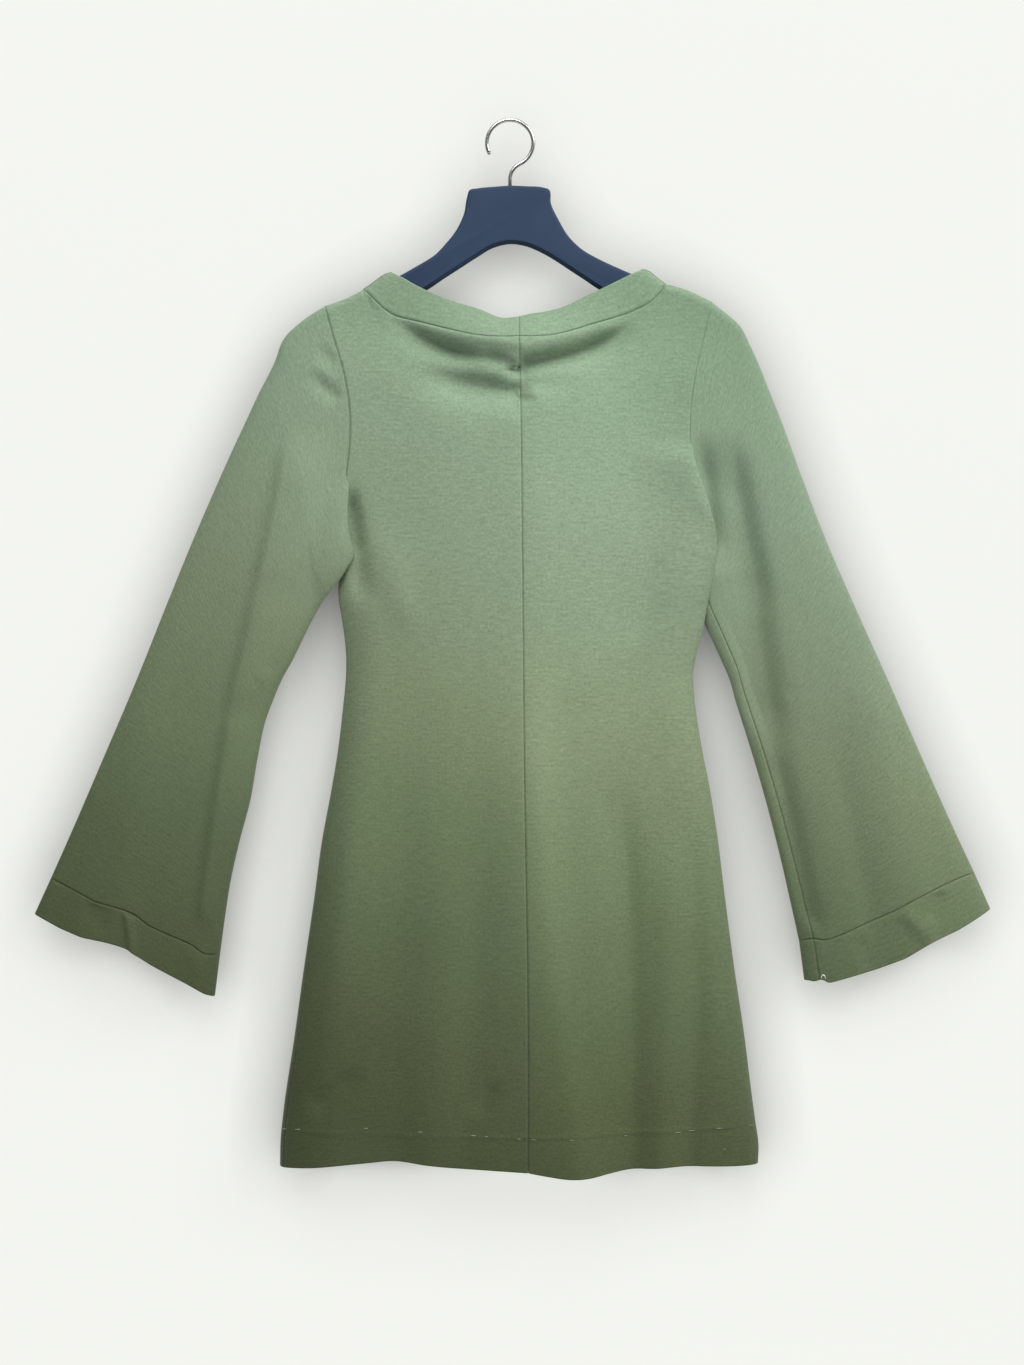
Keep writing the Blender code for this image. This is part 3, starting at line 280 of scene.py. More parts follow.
def body_half(side, back, tables):
    """Points of one half of the back or front, rows from top to hem, columns from the centre out."""
    neck_table, hem_table, centre_table, folds = tables
    sign = -1.0 if side == "left" else 1.0
    neck = curve(neck_table[side])
    shoulder = curve(SHOULDER[side])
    hem = curve(hem_table[side])
    centre = curve(centre_table)
    armhole = curve(ARMHOLE[side])
    flank = curve(SIDE[side])
    turn = np.radians(SEAM_TURN[side])
    neck_row = neck(steps(neck.length, BODY_PITCH, start=back))
    shoulder_row = shoulder(steps(shoulder.length, BODY_PITCH, start=False))[1:]
    top = np.vstack([neck_row[:, :2], shoulder_row])
    top_depth = np.concatenate([neck_row[:, 2], np.zeros(len(shoulder_row))])
    u = np.abs(top[:, 0] - top[0, 0]) / abs(top[-1, 0] - top[0, 0])
    arm_steps = steps(armhole.length, BODY_PITCH, count_for=curve(ARMHOLE["left"]).length)
    beside_seam = np.array([-2.4, -1.5, -0.9, -0.45, 0.0, 0.45, 0.9, 1.5, 2.4]) / armhole.length
    arm_steps = np.sort(np.concatenate([arm_steps, UNDERARM_SEAM + beside_seam]))
    flank_steps = steps(flank.length, BODY_PITCH, count_for=curve(SIDE["left"]).length)[1:]
    beside_hem = HEM_STITCH + np.array([-4.5, -3.0, -1.9, -1.0, 0.0, 1.0, 1.9, 3.0, 4.5])
    flank_steps = np.sort(np.concatenate([flank_steps, 1 - beside_hem / flank.length]))
    edge = np.vstack([armhole(arm_steps), flank(flank_steps)])
    run = np.concatenate([arm_steps * armhole.length, armhole.length + flank_steps * flank.length])
    v = run / run[-1]
    uu, vv = np.meshgrid(u, v)
    bottom = hem(u)
    point = (1 - vv)[..., None] * top[None] + vv[..., None] * bottom[None]
    point = point + (1 - uu)[..., None] * centre(v)[:, None] + uu[..., None] * edge[:, None]
    point = point - ((1 - uu) * (1 - vv))[..., None] * top[0] - (uu * (1 - vv))[..., None] * top[-1]
    point = point - ((1 - uu) * vv)[..., None] * bottom[0] - (uu * vv)[..., None] * bottom[-1]
    x = point[..., 0]
    z = point[..., 1]
    cloth_uv = np.stack([x, z], axis=-1)

    # The side turns round from the underarm down; at the armhole the edge stays flat
    arm_share = np.concatenate([arm_steps, np.ones(len(flank_steps))])
    turned = ease((arm_share - UNDERARM_START) / (1.0 - UNDERARM_START))[:, None]
    table = np.array(BODY_DEPTH)
    full = np.interp(-z, -table[:, 0], table[:, 1 if back else 2])
    beyond = np.interp(-z, -table[:, 0], table[:, 2 if back else 1])
    from_edge = np.abs(edge[:, :1] - x)
    half_width = np.abs(edge[:, :1] - x[:, :1])
    swell = 1.0 - (1.0 - np.clip(from_edge / half_width, 0.0, 1.0)) ** 2
    full = full * (SIDE_SHARE + (1 - SIDE_SHARE) * swell)
    beyond = beyond * (SIDE_SHARE + (1 - SIDE_SHARE) * swell)
    share = np.clip(from_edge / SIDE_ROUND, 0.0, 1.0)
    start = turn if back else -turn
    angle = start + (np.pi / 2 - start) * share
    round_x = np.where(share < 1.0, edge[:, :1] - sign * SIDE_ROUND * (1 - np.cos(angle)), x)
    round_depth = np.where(share < 1.0, np.where(angle > 0.0, full, beyond) * np.sin(angle), full)
    flat_depth = ARM_DEPTH + (full - ARM_DEPTH) * ease(from_edge / TOP_EASE)
    x = x * (1 - turned) + round_x * turned
    depth = flat_depth * (1 - turned) + round_depth * turned

    # Over the hanger the cloth turns round its own small radius, then eases out to the full depth
    below = np.clip(top[:, 1][None] - z, 0.0, None)
    started = CAP_RADIUS * (1 - np.sqrt(1 - np.clip(top_depth / CAP_RADIUS, 0.0, 1.0) ** 2))
    turned_down = np.clip((below + started[None]) / CAP_RADIUS, 0.0, 1.0)
    cap = np.maximum(CAP_RADIUS * np.sqrt(1 - (1 - turned_down) ** 2), top_depth[None])
    at_top = np.maximum(top_depth, CAP_RADIUS)
    cap = cap + (evened(top[:, 0], at_top, CAP_SPREAD) - at_top)[None] * ease(below / CAP_RUN)
    soft_top = evened(top[:, 0], top[:, 1], TOP_SPREAD)
    eased = ease((soft_top[None] - z) / TOP_EASE) * ease(below / CAP_SPREAD)
    depth = cap + (depth - cap) * eased
    settled = ease(from_edge / SIDE_ROUND + (1 - turned) * 0.3)
    depth = depth - fold_shift(x, z, folds) * settled
    uneven = lumps(x, z, BODY_LUMP, 3.1 if back else 7.7)
    depth = depth + BODY_LUMP_HIGH * uneven * settled * ease(below / CAP_FREE)

    # Where the armhole is low, the panel on the right rolls out over the sleeve beside it
    if back and side == "right":
        reach = roll_reach(side, z)
        x = x + sign * (reach + np.minimum(reach, 1.0) * ROLL_PEAK) * roll(from_edge, ROLL_PEAK)
        depth = depth + ROLL_RISE[side] * ease(reach / ROLL_FULL) * roll(from_edge, ROLL_TOP)

    # Edges dip into their seams
    dip = seam_roll(below) * ease(top_depth / CAP_RADIUS)[None]
    dip = dip + seam_roll(from_edge) * (1 - turned * (1 - abs(np.sin(turn))))
    if back:
        dip = dip + seam_roll(np.abs(x - x[:, :1]))
    depth = depth - dip
    x = x - sign * seam_roll(from_edge) * turned
    y = -depth if back else depth
    return np.stack([x, y, z], axis=-1), cloth_uv, arm_steps


def normals(grid, closed=False):
    """Unit normals of a grid of points."""
    down = np.gradient(grid, axis=0)
    across = np.roll(grid, -1, axis=1) - np.roll(grid, 1, axis=1) if closed else np.gradient(grid, axis=1)
    found = np.cross(across, down)
    return found / np.maximum(np.linalg.norm(found, axis=-1, keepdims=True), 1e-9)


def turn_under(grid, uv, radius, layers, closed=False, facing=None):
    """Adds a rounded fold after a grid's last row, and the layer that goes back up inside it."""
    out = normals(grid, closed)
    if facing is None:
        middle = grid.mean(axis=1, keepdims=True)
        flip = ((grid - middle) * out).sum(-1).mean() < 0
    else:
        flip = (out * facing).sum(-1).mean() < 0
    inward = out if flip else -out
    on = grid[-1] - grid[-2]
    on = on / np.maximum(np.linalg.norm(on, axis=-1, keepdims=True), 1e-9)
    rows = [grid]
    uvs = [uv]
    for angle in np.radians([35.0, 90.0, 145.0]):
        step = inward[-1] * radius * (1 - np.cos(angle)) + on * radius * np.sin(angle)
        rows.append((grid[-1] + step)[None])
        uvs.append(uv[-1:])
    for k in layers:
        rows.append((grid[k] + inward[k] * 2 * radius)[None])
        uvs.append(uv[k][None])
    return np.concatenate(rows), np.concatenate(uvs)


def as_object(name, form, material):
    """Turns a finished form into an object with smooth faces, made of one material."""
    for face in form.faces:
        face.smooth = True
    mesh = bpy.data.meshes.new(name)
    form.to_mesh(mesh)
    form.free()
    mesh.materials.append(material)
    piece = bpy.data.objects.new(name, mesh)
    bpy.context.scene.collection.objects.link(piece)
    return piece


def in_part(piece, replaced=None):
    """Puts a piece in its place in the part."""
    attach(piece, "root")
    if replaced:
        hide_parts(replaced)


def cloth(name, replaced, grid, uv, closed=False, facing=None):
    """A piece of jersey from a grid of points in millimetres, with its own courses lying on it."""
    out = normals(grid, closed)
    away = grid - grid.mean(axis=1, keepdims=True) if facing is None else np.array(facing)
    inside_out = (out * away).sum() < 0
    rows, columns = grid.shape[:2]
    if closed:
        grid = np.concatenate([grid, grid[:, :1]], axis=1)
        uv = np.concatenate([uv, 2 * uv[:, -1:] - uv[:, -2:-1]], axis=1)
        columns = columns + 1
    sheet = bmesh.new()
    bmesh.ops.create_grid(sheet, x_segments=columns - 1, y_segments=rows - 1, size=0.5)
    sheet.verts.ensure_lookup_table()
    for vert, point in zip(sheet.verts, grid.reshape(-1, 3) * MM):
        vert.co = point
    layer = sheet.loops.layers.uv.new("cloth")
    flat_uv = uv.reshape(-1, 2) * MM
    for face in sheet.faces:
        for loop in face.loops:
            loop[layer].uv = flat_uv[loop.vert.index]
    if closed:
        ends = [v for v in sheet.verts if v.index % columns in (0, columns - 1)]
        bmesh.ops.remove_doubles(sheet, verts=ends, dist=1e-6)
    if inside_out:
        bmesh.ops.reverse_faces(sheet, faces=sheet.faces)
    piece = as_object(name, sheet, jersey)
    thick = piece.modifiers.new("cloth thickness", "SOLIDIFY")
    thick.thickness = WALL * MM
    thick.offset = -1.0
    in_part(piece, replaced)
    return piece


def linear(code):
    """An sRGB hex colour as linear values."""
    parts = [int(code[i : i + 2], 16) / 255 for i in (1, 3, 5)]
    return [c / 12.92 if c <= 0.04045 else ((c + 0.055) / 1.055) ** 2.4 for c in parts] + [1.0]


def add(tree, kind, settings, links):
    """A node with its settings and its incoming links, each from an output or a node's first output."""
    node = tree.nodes.new("ShaderNode" + kind)
    for key, value in settings.items():
        if isinstance(key, int) or key in node.inputs:
            node.inputs[key].default_value = value
        else:
            setattr(node, key, value)
    for key, source in links.items():
        tree.links.new(getattr(source, "outputs", [source])[0], node.inputs[key])
    return node


def ramp(tree, source, stops):
    """A colour ramp with a stop at each given place."""
    node = add(tree, "ValToRGB", {}, {"Fac": source})
    found = node.color_ramp.elements
    found[0].color = stops[0][1]
    found[1].color = stops[-1][1]
    for position, colour in stops[1:-1]:
        found.new(position).color = colour
    return node


def blank(name, settings):
    """A new material, its node tree and its shader with the given settings."""
    material = bpy.data.materials.new(name)
    material.use_nodes = True
    shader = material.node_tree.nodes["Principled BSDF"]
    for key, value in settings.items():
        shader.inputs[key].default_value = value
    return material, material.node_tree, shader


def ponte(name):
    """Ponte jersey: two knitted faces locked together, matt, with fine courses and a little surface fuzz.
    It is piece-dyed sage. Painted shade darkens its colour and turns it olive towards the hem and the lower
    left, where the light falls off, and painted light makes it brightest just right of the centre seam and
    darker towards the sides."""
    settings = {"Roughness": 0.92, "Specular IOR Level": 0.25, "Sheen Weight": 0.12, "Sheen Roughness": 0.5}
    material, tree, shader = blank(name, settings)
    place = add(tree, "TexCoord", {}, {})
    spot = add(tree, "SeparateXYZ", {}, {"Vector": place.outputs["Object"]})
    # Painted shade: the colour darkens down the dress, more steeply towards the left and less towards the
    # right, as the light falls from the upper right
    left_way = add(tree, "Math", {"operation": "MULTIPLY", 1: 0.4}, {0: spot.outputs["X"]})
    right_way = add(tree, "Math", {"operation": "MULTIPLY", 1: 0.16}, {0: spot.outputs["X"]})
    across = add(tree, "Math", {"operation": "MINIMUM"}, {0: left_way, 1: right_way})
    height = add(tree, "Math", {"operation": "ADD"}, {0: spot.outputs["Z"], 1: across})
    cloudy = add(tree, "TexNoise", {"Scale": 9.0, "Detail": 2.0}, {"Vector": place.outputs["Object"]})
    drift = add(tree, "Math", {"operation": "MULTIPLY_ADD", 1: 0.05, 2: -0.025}, {0: cloudy})
    level = add(tree, "Math", {"operation": "ADD"}, {0: height, 1: drift})
    share = add(tree, "MapRange", {"From Min": -1.0, "From Max": -0.15}, {"Value": level})
    # Painted shade from sage at the top to dark olive at the hem
    falloff_stops = [
        (0.0, "#424B30"), (0.08, "#495236"), (0.22, "#576346"), (0.35, "#667556"), (0.5, "#798769"),
        (0.64, "#829378"), (0.78, "#869A81"), (0.88, "#849A80"), (1.0, "#7A9177"),
    ]
    painted_falloff = ramp(tree, share, [(position, linear(code)) for position, code in falloff_stops])
    # Painted light and shade across the width: brightest just right of the centre seam, where the cloth
    # faces the light, and darker towards the sides and the sleeves
    sideways = add(tree, "MapRange", {"From Min": -0.45, "From Max": 0.45}, {"Value": spot.outputs["X"]})
    light_across_stops = [
        (0.0, 0.83), (0.1, 0.79), (0.2, 0.76), (0.27, 0.81), (0.37, 0.86), (0.5, 0.91), (0.54, 1.0),
        (0.6, 1.0), (0.66, 0.93), (0.71, 0.87), (0.77, 0.81), (0.86, 0.77), (0.92, 0.79), (1.0, 0.79),
    ]
    painted_light_across = ramp(tree, sideways, [(position, (value,) * 3 + (1.0,)) for position, value in light_across_stops])
    # Courses are 0.8 mm apart in the cloth; drawn as broken lines about 3 mm apart so that they show
    lie = add(tree, "Mapping", {"Scale": (90.0, 420.0, 1.0)}, {"Vector": place.outputs["UV"]})
    courses = add(tree, "TexNoise", {"Scale": 1.0, "Detail": 3.0, "Roughness": 0.6}, {"Vector": lie})
    loops_at = add(tree, "Mapping", {"Scale": (420.0, 400.0, 1.0)}, {"Vector": place.outputs["UV"]})
    loops = add(tree, "TexNoise", {"Scale": 1.0, "Detail": 2.0}, {"Vector": loops_at})
    grain = add(tree, "Mix", {"data_type": "FLOAT", 0: 0.55}, {2: courses, 3: loops})
    shade_range = {"From Min": 0.3, "From Max": 0.7, "To Min": 0.88, "To Max": 1.37}
    shade = add(tree, "MapRange", shade_range, {"Value": grain})
    multiply = {"data_type": "RGBA", "blend_type": "MULTIPLY", 0: 1.0}
    # The painted shade of the colour ramp, with the courses' grain over it
    falloff_and_courses = add(tree, "Mix", multiply, {6: painted_falloff, 7: shade})
    lit = add(tree, "Mix", multiply, {6: falloff_and_courses.outputs[2], 7: painted_light_across})
    tree.links.new(lit.outputs[2], shader.inputs["Base Color"])
    rough = add(tree, "Bump", {"Strength": 0.5, "Distance": 0.0005}, {"Height": grain})
    tree.links.new(rough.outputs["Normal"], shader.inputs["Normal"])
    return material


jersey = ponte("ponte jersey, knitted and piece-dyed")
back_tables = (BACK_NECK, BACK_HEM, BACK_CENTRE, BACK_FOLDS)
halves = {}
for side in ("left", "right"):
    grid, uv, arm_shares = body_half(side, True, back_tables)
    halves[side, True] = (grid, len(arm_shares), arm_shares)
    hem_line = grid[-1, :, 2].mean()
    deep = [k for k in range(grid.shape[0] - 1, 0, -4) if grid[k, :, 2].mean() < hem_line + HEM_DEEP]
    grid, uv = turn_under(grid, uv, HEM_TURN, deep, facing=TO_BACK)
    piece = cloth("back_panel_" + side, "back_" + side, grid, uv, facing=TO_BACK)

# Front of the dress: one panel of the same jersey, hidden behind the back, with a lower neckline.
# It is sewn to the back at the shoulders and sides, and its hem is turned up in the same way.
FRONT_NECK = {
    "left": [
        (8.5, -247.8, 23), (-24.9, -245, 22), (-57.3, -236.8, 18), (-85.9, -222.9, 14),
        (-109.6, -204.1, 11), (-127.6, -179.6, 10.4), (-133.4, -169.5, 9.4), (-136.6, -164.2, 8),
        (-138.8, -161, 4.8), (-139.7, -159.6, 0),
    ],
    "right": [
        (8.5, -247.8, 23), (36.3, -245, 22), (70.7, -235.8, 18), (97.3, -220.9, 14), (120.1, -200.3, 11),
        (135.3, -177.7, 10.4), (141, -168.2, 9.4), (144.6, -160, 8), (146.6, -155.4, 4.8),
        (147.2, -153.8, 0),
    ],
}
FRONT_HEM = {
    "left": [(17, -989), (-60, -987), (-140, -987.5), (-218.5, -990.8)],
    "right": [(17, -989), (90, -990), (160, -988), (235.6, -988)],
}
FRONT_CENTRE = [(8.5, -247.8), (10.4, -320), (11.4, -400), (13.5, -620), (17, -860), (17, -989)]
FRONT_FOLDS = [
    (-112, -216, -70, -248, 4, -268, 6.5, 14, 6.5, 0.25, 0.2),
    (118, -214, 72, -246, 16, -270, 6.5, 14, 6, 0.25, 0.2),
    (-60, -284, -20, -293, 40, -288, 9, 12, 3, 0.4, 0.4),
    (-150, -340, -144, -400, -120, -470, 9, 12, 4, 0.3, 0.5),
    (164, -336, 158, -396, 136, -462, 12, 9, 3.6, 0.3, 0.5),
    (-70, -560, -84, -760, -100, -1000, 26, 22, 4, 0.4, 0),
    (-10, -600, 0, -800, -4, -1000, 20, 24, -3, 0.4, 0),
    (84, -590, 92, -780, 110, -1000, 22, 26, 4, 0.4, 0),
]
front_tables = (FRONT_NECK, FRONT_HEM, FRONT_CENTRE, FRONT_FOLDS)
front_halves = []
for side in ("left", "right"):
    grid, uv, arm_shares = body_half(side, False, front_tables)
    halves[side, False] = (grid, len(arm_shares), arm_shares)
    front_halves.append((grid, uv))
(left_grid, left_uv), (right_grid, right_uv) = front_halves
kept_rows = sorted(set(range(0, left_grid.shape[0], 2)) | {left_grid.shape[0] - 1})
front_grid, front_uv = [
    np.concatenate([left[:, :0:-2], left[:, :1], right[:, 2::2], right[:, -1:]], axis=1)[kept_rows]
    for left, right in ((left_grid, right_grid), (left_uv, right_uv))
]
hem_line = FRONT_HEM["left"][0][1]
deep = [k for k in range(front_grid.shape[0] - 1, 0, -3) if front_grid[k, :, 2].mean() < hem_line + HEM_DEEP]
front_grid, front_uv = turn_under(front_grid, front_uv, HEM_TURN, deep, facing=TO_FRONT)
front_panel = cloth("front_panel", "front", front_grid, front_uv, facing=TO_FRONT)

# Hem stitches: polyester sewing thread, a little paler than the jersey, that holds the turned-up hem of
# the back. It is blind-stitched by machine, so only a few short picks of thread show on the outside.
# x, z, length, tilt in degrees
PICKS = [
    (-212, -955.2, 8, 2), (-200, -954.4, 6.5, 4), (-135.9, -953, 4, 3), (-84.6, -956.2, 5, -3),
    (-34.2, -959.4, 5.5, -4), (-22, -960.2, 3.5, -2), (8.6, -961.6, 4, 1), (24, -962.2, 8.5, -2),
    (58, -962, 4.5, 2), (109.3, -960, 3.5, 3), (157, -956.4, 9, 4), (171, -955.2, 8, 3),
    (197.6, -952.9, 6.5, 2), (228, -951.4, 5, 1), (202.4, -972.4, 2.5, 10),
]
PICK_RADIUS = 0.3


def spun_polyester(name, low, high):
    """Spun polyester sewing thread: matt, with a tight twist that shows as fine bands."""
    material, tree, shader = blank(name, {"Roughness": 0.7})
    place = add(tree, "TexCoord", {}, {})
    twist = add(tree, "TexWave", {"Scale": 900.0, "Distortion": 1.0}, {"Vector": place.outputs["Object"]})
    between = {"data_type": "RGBA", 6: linear(low), 7: linear(high)}
    tint = add(tree, "Mix", between, {0: twist.outputs["Fac"]})
    tree.links.new(tint.outputs[2], shader.inputs["Base Color"])
    return material


surface = np.concatenate([halves[side, True][0].reshape(-1, 3) for side in ("left", "right")])
picks = bmesh.new()
for x, z, length, tilt in PICKS:
    y = surface[np.argmin(np.hypot(surface[:, 0] - x, surface[:, 2] - z)), 1]
    lie = Matrix.Translation(Vector((x, y - 0.1, z)) * MM) @ Matrix.Rotation(np.radians(-tilt), 4, "Y")
    size = Matrix.Diagonal((length / 2 * MM, PICK_RADIUS * MM, PICK_RADIUS * MM, 1.0))
    bmesh.ops.create_uvsphere(picks, u_segments=12, v_segments=8, radius=1.0, matrix=lie @ size)
dyed_thread = spun_polyester("polyester thread, dyed", "#76846A", "#98A388")
in_part(as_object("hem_stitches", picks, dyed_thread))

# Neckbands: strips of the same jersey folded along the neck edge and sewn to it through both layers.
# The back's is in two halves joined at the centre seam; they stand up and lean in from the seam.
NECK_EDGE = {
    ("left", True): [
        (8.5, -185.5, 6.5), (-5.7, -187, 7.2), (-30.3, -178.6, 8.6), (-55.9, -171.1, 9.4),
        (-79.6, -161.6, 9.8), (-92.8, -155, 9.8), (-102.3, -149.2, 9.4), (-106.5, -147, 8.6),
        (-110.2, -145, 7), (-112.2, -143.8, 4.2), (-113, -143.4, 0),
    ],
    ("right", True): [
        (8.5, -185.5, 6.5), (21.8, -182.6, 7.2), (32.2, -181.4, 8), (49.3, -177.2, 9),
        (77.7, -164.4, 9.8), (98.5, -154.5, 9.8), (112.8, -147.3, 9.4), (118.5, -144.3, 8.6),
        (122.4, -142.2, 7), (124.6, -141, 4.2), (125.4, -140.6, 0),
    ],
    ("left", False): [
        (8.5, -215, 8), (-30.5, -209.1, 8.6), (-61.9, -193.8, 9.8), (-85.7, -174.7, 10),
        (-101.9, -156.7, 9.6), (-107, -150.4, 8.8), (-110.6, -146.2, 7.2), (-112.3, -144.2, 4.4),
        (-113, -143.4, 0),
    ],
    ("right", False): [
        (8.5, -215, 8), (43.8, -209.1, 8.6), (74.3, -192.8, 9.8), (97.2, -171.9, 10),
        (113.3, -153.8, 9.6), (119.2, -147.2, 8.8), (122.8, -143.2, 7.2), (124.7, -141.3, 4.4),
        (125.4, -140.6, 0),
    ],
}
BAND_BULGE = {"left": 1.6, "right": 2.0}
BULGE_HIGH = 2.2
BAND_HIGH = 24.0
BAND_ROW = 1.8
BAND_TURN = 1.0
BAND_BELLY = 1.6
BAND_PITCH = 2.2


def band_half(side, back):
    """Points of half a neckband, rows from the seam up to the neck edge, columns from the centre out."""
    facing = -1.0 if back else 1.0
    seam = curve((BACK_NECK if back else FRONT_NECK)[side])
    high = curve(NECK_EDGE[side, back])
    along = steps(seam.length, BAND_PITCH, start=back)
    up = steps(BAND_HIGH, BAND_ROW, end=False)
    low_line = seam(along)
    high_line = high(along)
    share = up[:, None]
    x, z, depth = [low_line[:, k] * (1 - share) + high_line[:, k] * share for k in range(3)]
    bulge = BAND_BULGE[side] * np.sin(np.pi * share**BULGE_HIGH) * ease((along - 0.8) / 0.2)
    x = x + (-0.5 if side == "left" else 0.5) * bulge
    z = z + 0.85 * bulge
    inner = np.sin(np.pi * along / 2 + np.pi / 2)
    depth = depth + BAND_BELLY * np.sin(np.pi * share) * inner
    depth = depth - seam_roll(share * BAND_HIGH) * ease(low_line[:, 2] / CAP_RADIUS)
    if back:
        depth = depth - seam_roll(np.abs(x - x[:, :1])) * inner
    depth = depth + 0.3 * lumps(x, z, 26.0, 5.0) * np.sin(np.pi * share) * inner
    run = along * seam.length
    uv = np.stack(np.broadcast_arrays(run[None], share * BAND_HIGH), axis=-1)
    return np.stack([x, facing * depth, z], axis=-1), uv


for side in ("left", "right"):
    grid, uv = band_half(side, True)
    grid, uv = turn_under(grid, uv, BAND_TURN, range(grid.shape[0] - 1, -1, -1), facing=TO_BACK)
    piece = cloth("back_neckband_" + side, "neckband_back_" + side, grid, uv, facing=TO_BACK)
(left_grid, left_uv), (right_grid, right_uv) = band_half("left", False), band_half("right", False)
grid = np.concatenate([left_grid[:, :0:-1], right_grid], axis=1)
uv = np.concatenate([left_uv[:, :0:-1] * (-1.0, 1.0), right_uv], axis=1)
grid, uv = turn_under(grid, uv, BAND_TURN, range(grid.shape[0] - 1, -1, -1), facing=TO_FRONT)
piece = cloth("front_neckband", "neckband_front", grid, uv, facing=TO_FRONT)

# Sleeves: set-in bell sleeves of the same jersey, each one piece with a single seam under the arm.
# They are sewn round the armhole, hang close to flat, and widen from the upper arm to the cuff.
OUTER = {
    "left": [
        (-175.8, -174.8), (-193.8, -186.2), (-203.3, -193.8), (-211.4, -201.4), (-216.6, -209),
        (-222.8, -226.1), (-229.4, -240.3), (-237, -254.6), (-250.3, -283.1), (-263.6, -311.6),
        (-276.4, -340.1), (-301.1, -397.1), (-324.4, -454.1), (-354.8, -530.1), (-387.1, -606.1),
        (-419.9, -682.1), (-436, -718.2),
    ],
    "right": [
        (191.9, -171), (201.4, -178.6), (210.9, -186.2), (218.5, -193.8), (223.2, -201.4), (227, -209.9),
        (234.6, -226.1), (246, -254.6), (257.4, -283.1), (267.9, -311.6), (278.3, -340.1),
        (300.2, -397.1), (324.9, -454.1), (359.1, -530.1), (392.3, -606.1), (426.5, -682.1),
        (440.8, -712.5),
    ],
}
INNER = {
    "left": [
        (-160.2, -416.1), (-166.2, -427.5), (-172.4, -441.8), (-180.5, -456), (-188.6, -473.1),
        (-206.1, -511.1), (-216.6, -530.1), (-224.7, -549.1), (-231.8, -568.1), (-239.9, -606.1),
        (-246.5, -644.1), (-256.5, -682.1), (-265.1, -720.1), (-270.8, -756.2), (-275.5, -791.3),
    ],
    "right": [
        (185.6, -416.1), (186.4, -430.3), (182.6, -444.6), (180.6, -457.9), (184.4, -473.1),
        (192.4, -492.1), (200.9, -511.1), (209, -530.1), (214.2, -549.1), (226.1, -587.1),
        (237.5, -625.1), (247.9, -663.1), (257.4, -701.1), (266, -739.1), (274.6, -778),
    ],
}
# Share of the length, half depth, sag of the rings, shift of the inner fold towards the back
SLEEVE_DEPTH = {
    "left": [(0, 17, 0, 0), (0.15, 19, 0, 5), (0.5, 17, 0, 2), (1, 19, 3, 0)],
    "right": [(0, 17, 0, 0), (0.15, 18, 0, -7), (0.5, 17, -2, -2), (1, 19, -10, 0)],
}
# Share across from the outer edge, drop of the cuff's seam, drop of the cuff's lower edge
CUFF_WAVES = {
    "left": [
        (0, 0, 0), (0.14, -1, -1.6), (0.27, -2.4, -0.4), (0.37, 0.6, 4.2), (0.44, 2.6, 6.8),
        (0.51, 2.8, 8.4), (0.58, -1.4, 6.4), (0.65, -1.8, 3.8), (0.84, -1.3, 1), (0.91, -5.4, -0.6),
        (0.96, -2.4, -1.6), (1, 0, 0),
    ],
    "right": [
        (0, 0, 0), (0.09, 0.8, -3.9), (0.18, 0.2, -7.2), (0.32, -1.8, -8.6), (0.47, -5.4, -14.6),
        (0.62, -6.8, -14.8), (0.74, -8.4, -13.2), (0.83, -8.8, -12), (0.88, -6.4, -11.2),
        (0.91, -3, -4.6), (0.95, -0.8, -5.4), (1, 0, 0),
    ],
}
WAVE_SOFTNESS = 0.018
SLEEVE_BLEND = 0.16
SLEEVE_FULLNESS = 0.42
INNER_LAG = 1.2
SLEEVE_PITCH = 3.4
SLEEVE_LUMP = 55.0
SLEEVE_LUMP_HIGH = 0.5
ROLL_LIFT = 8.0
LIFT_FROM = -390.0
LIFT_RUN = 26.0
SLEEVE_FOLDS = {
    "left": [
        (-205, -286, -218, -359, -240, -462, 8, 34, -5, 0.3, 0.2),
        (-233, -430, -247, -494, -265, -568, 8, 32, -5, 0.25, 0.25),
        (-258, -536, -274, -640, -290, -766, 8, 24, -4.5, 0.2, 0.1),
        (-186, -214, -175, -222, -164, -231, 7, 6.5, 1.8, 0.45, 0.2),
        (-190, -236, -175, -254, -160, -267, 7, 7, 3, 0.5, 0.2),
        (-190, -229, -178, -240, -163, -250, 7, 7, -1.2, 0.4, 0.3),
        (-222, -520, -232, -530, -240, -535, 9, 9, -1.4, 0.4, 0.4),
        (-330, -520, -352, -620, -376, -740, 24, 24, -2, 0.3, 0),
        (-404, -640, -416, -690, -428, -740, 12, 12, 2, 0.4, 0),
    ],
    "right": [
        (207, -292, 220, -376, 241, -476, 28, 12, 10.5, 0.35, 0.25),
        (226, -424, 238, -506, 252, -606, 30, 14, 9.5, 0.3, 0.3),
        (247, -566, 260, -650, 284, -768, 16, 12, 6.5, 0.3, 0.1),
        (181, -292, 186.5, -354, 204, -436, 8, 11, 9, 0.35, 0.45),
        (262, -531, 267, -540, 272, -547, 7, 7, 0.7, 0.4, 0.4),
        (330, -500, 352, -600, 380, -730, 24, 24, -3, 0.3, 0),
        (300, -560, 322, -660, 344, -760, 14, 14, 2, 0.4, 0),
    ],
}
SLEEVE_LEAN = {"left": 0.5, "right": 0.0}
# The underarm seam lies on the back of the right sleeve and behind the left one
UNDERARM_SIDE = {"left": 1.0, "right": -1.0}


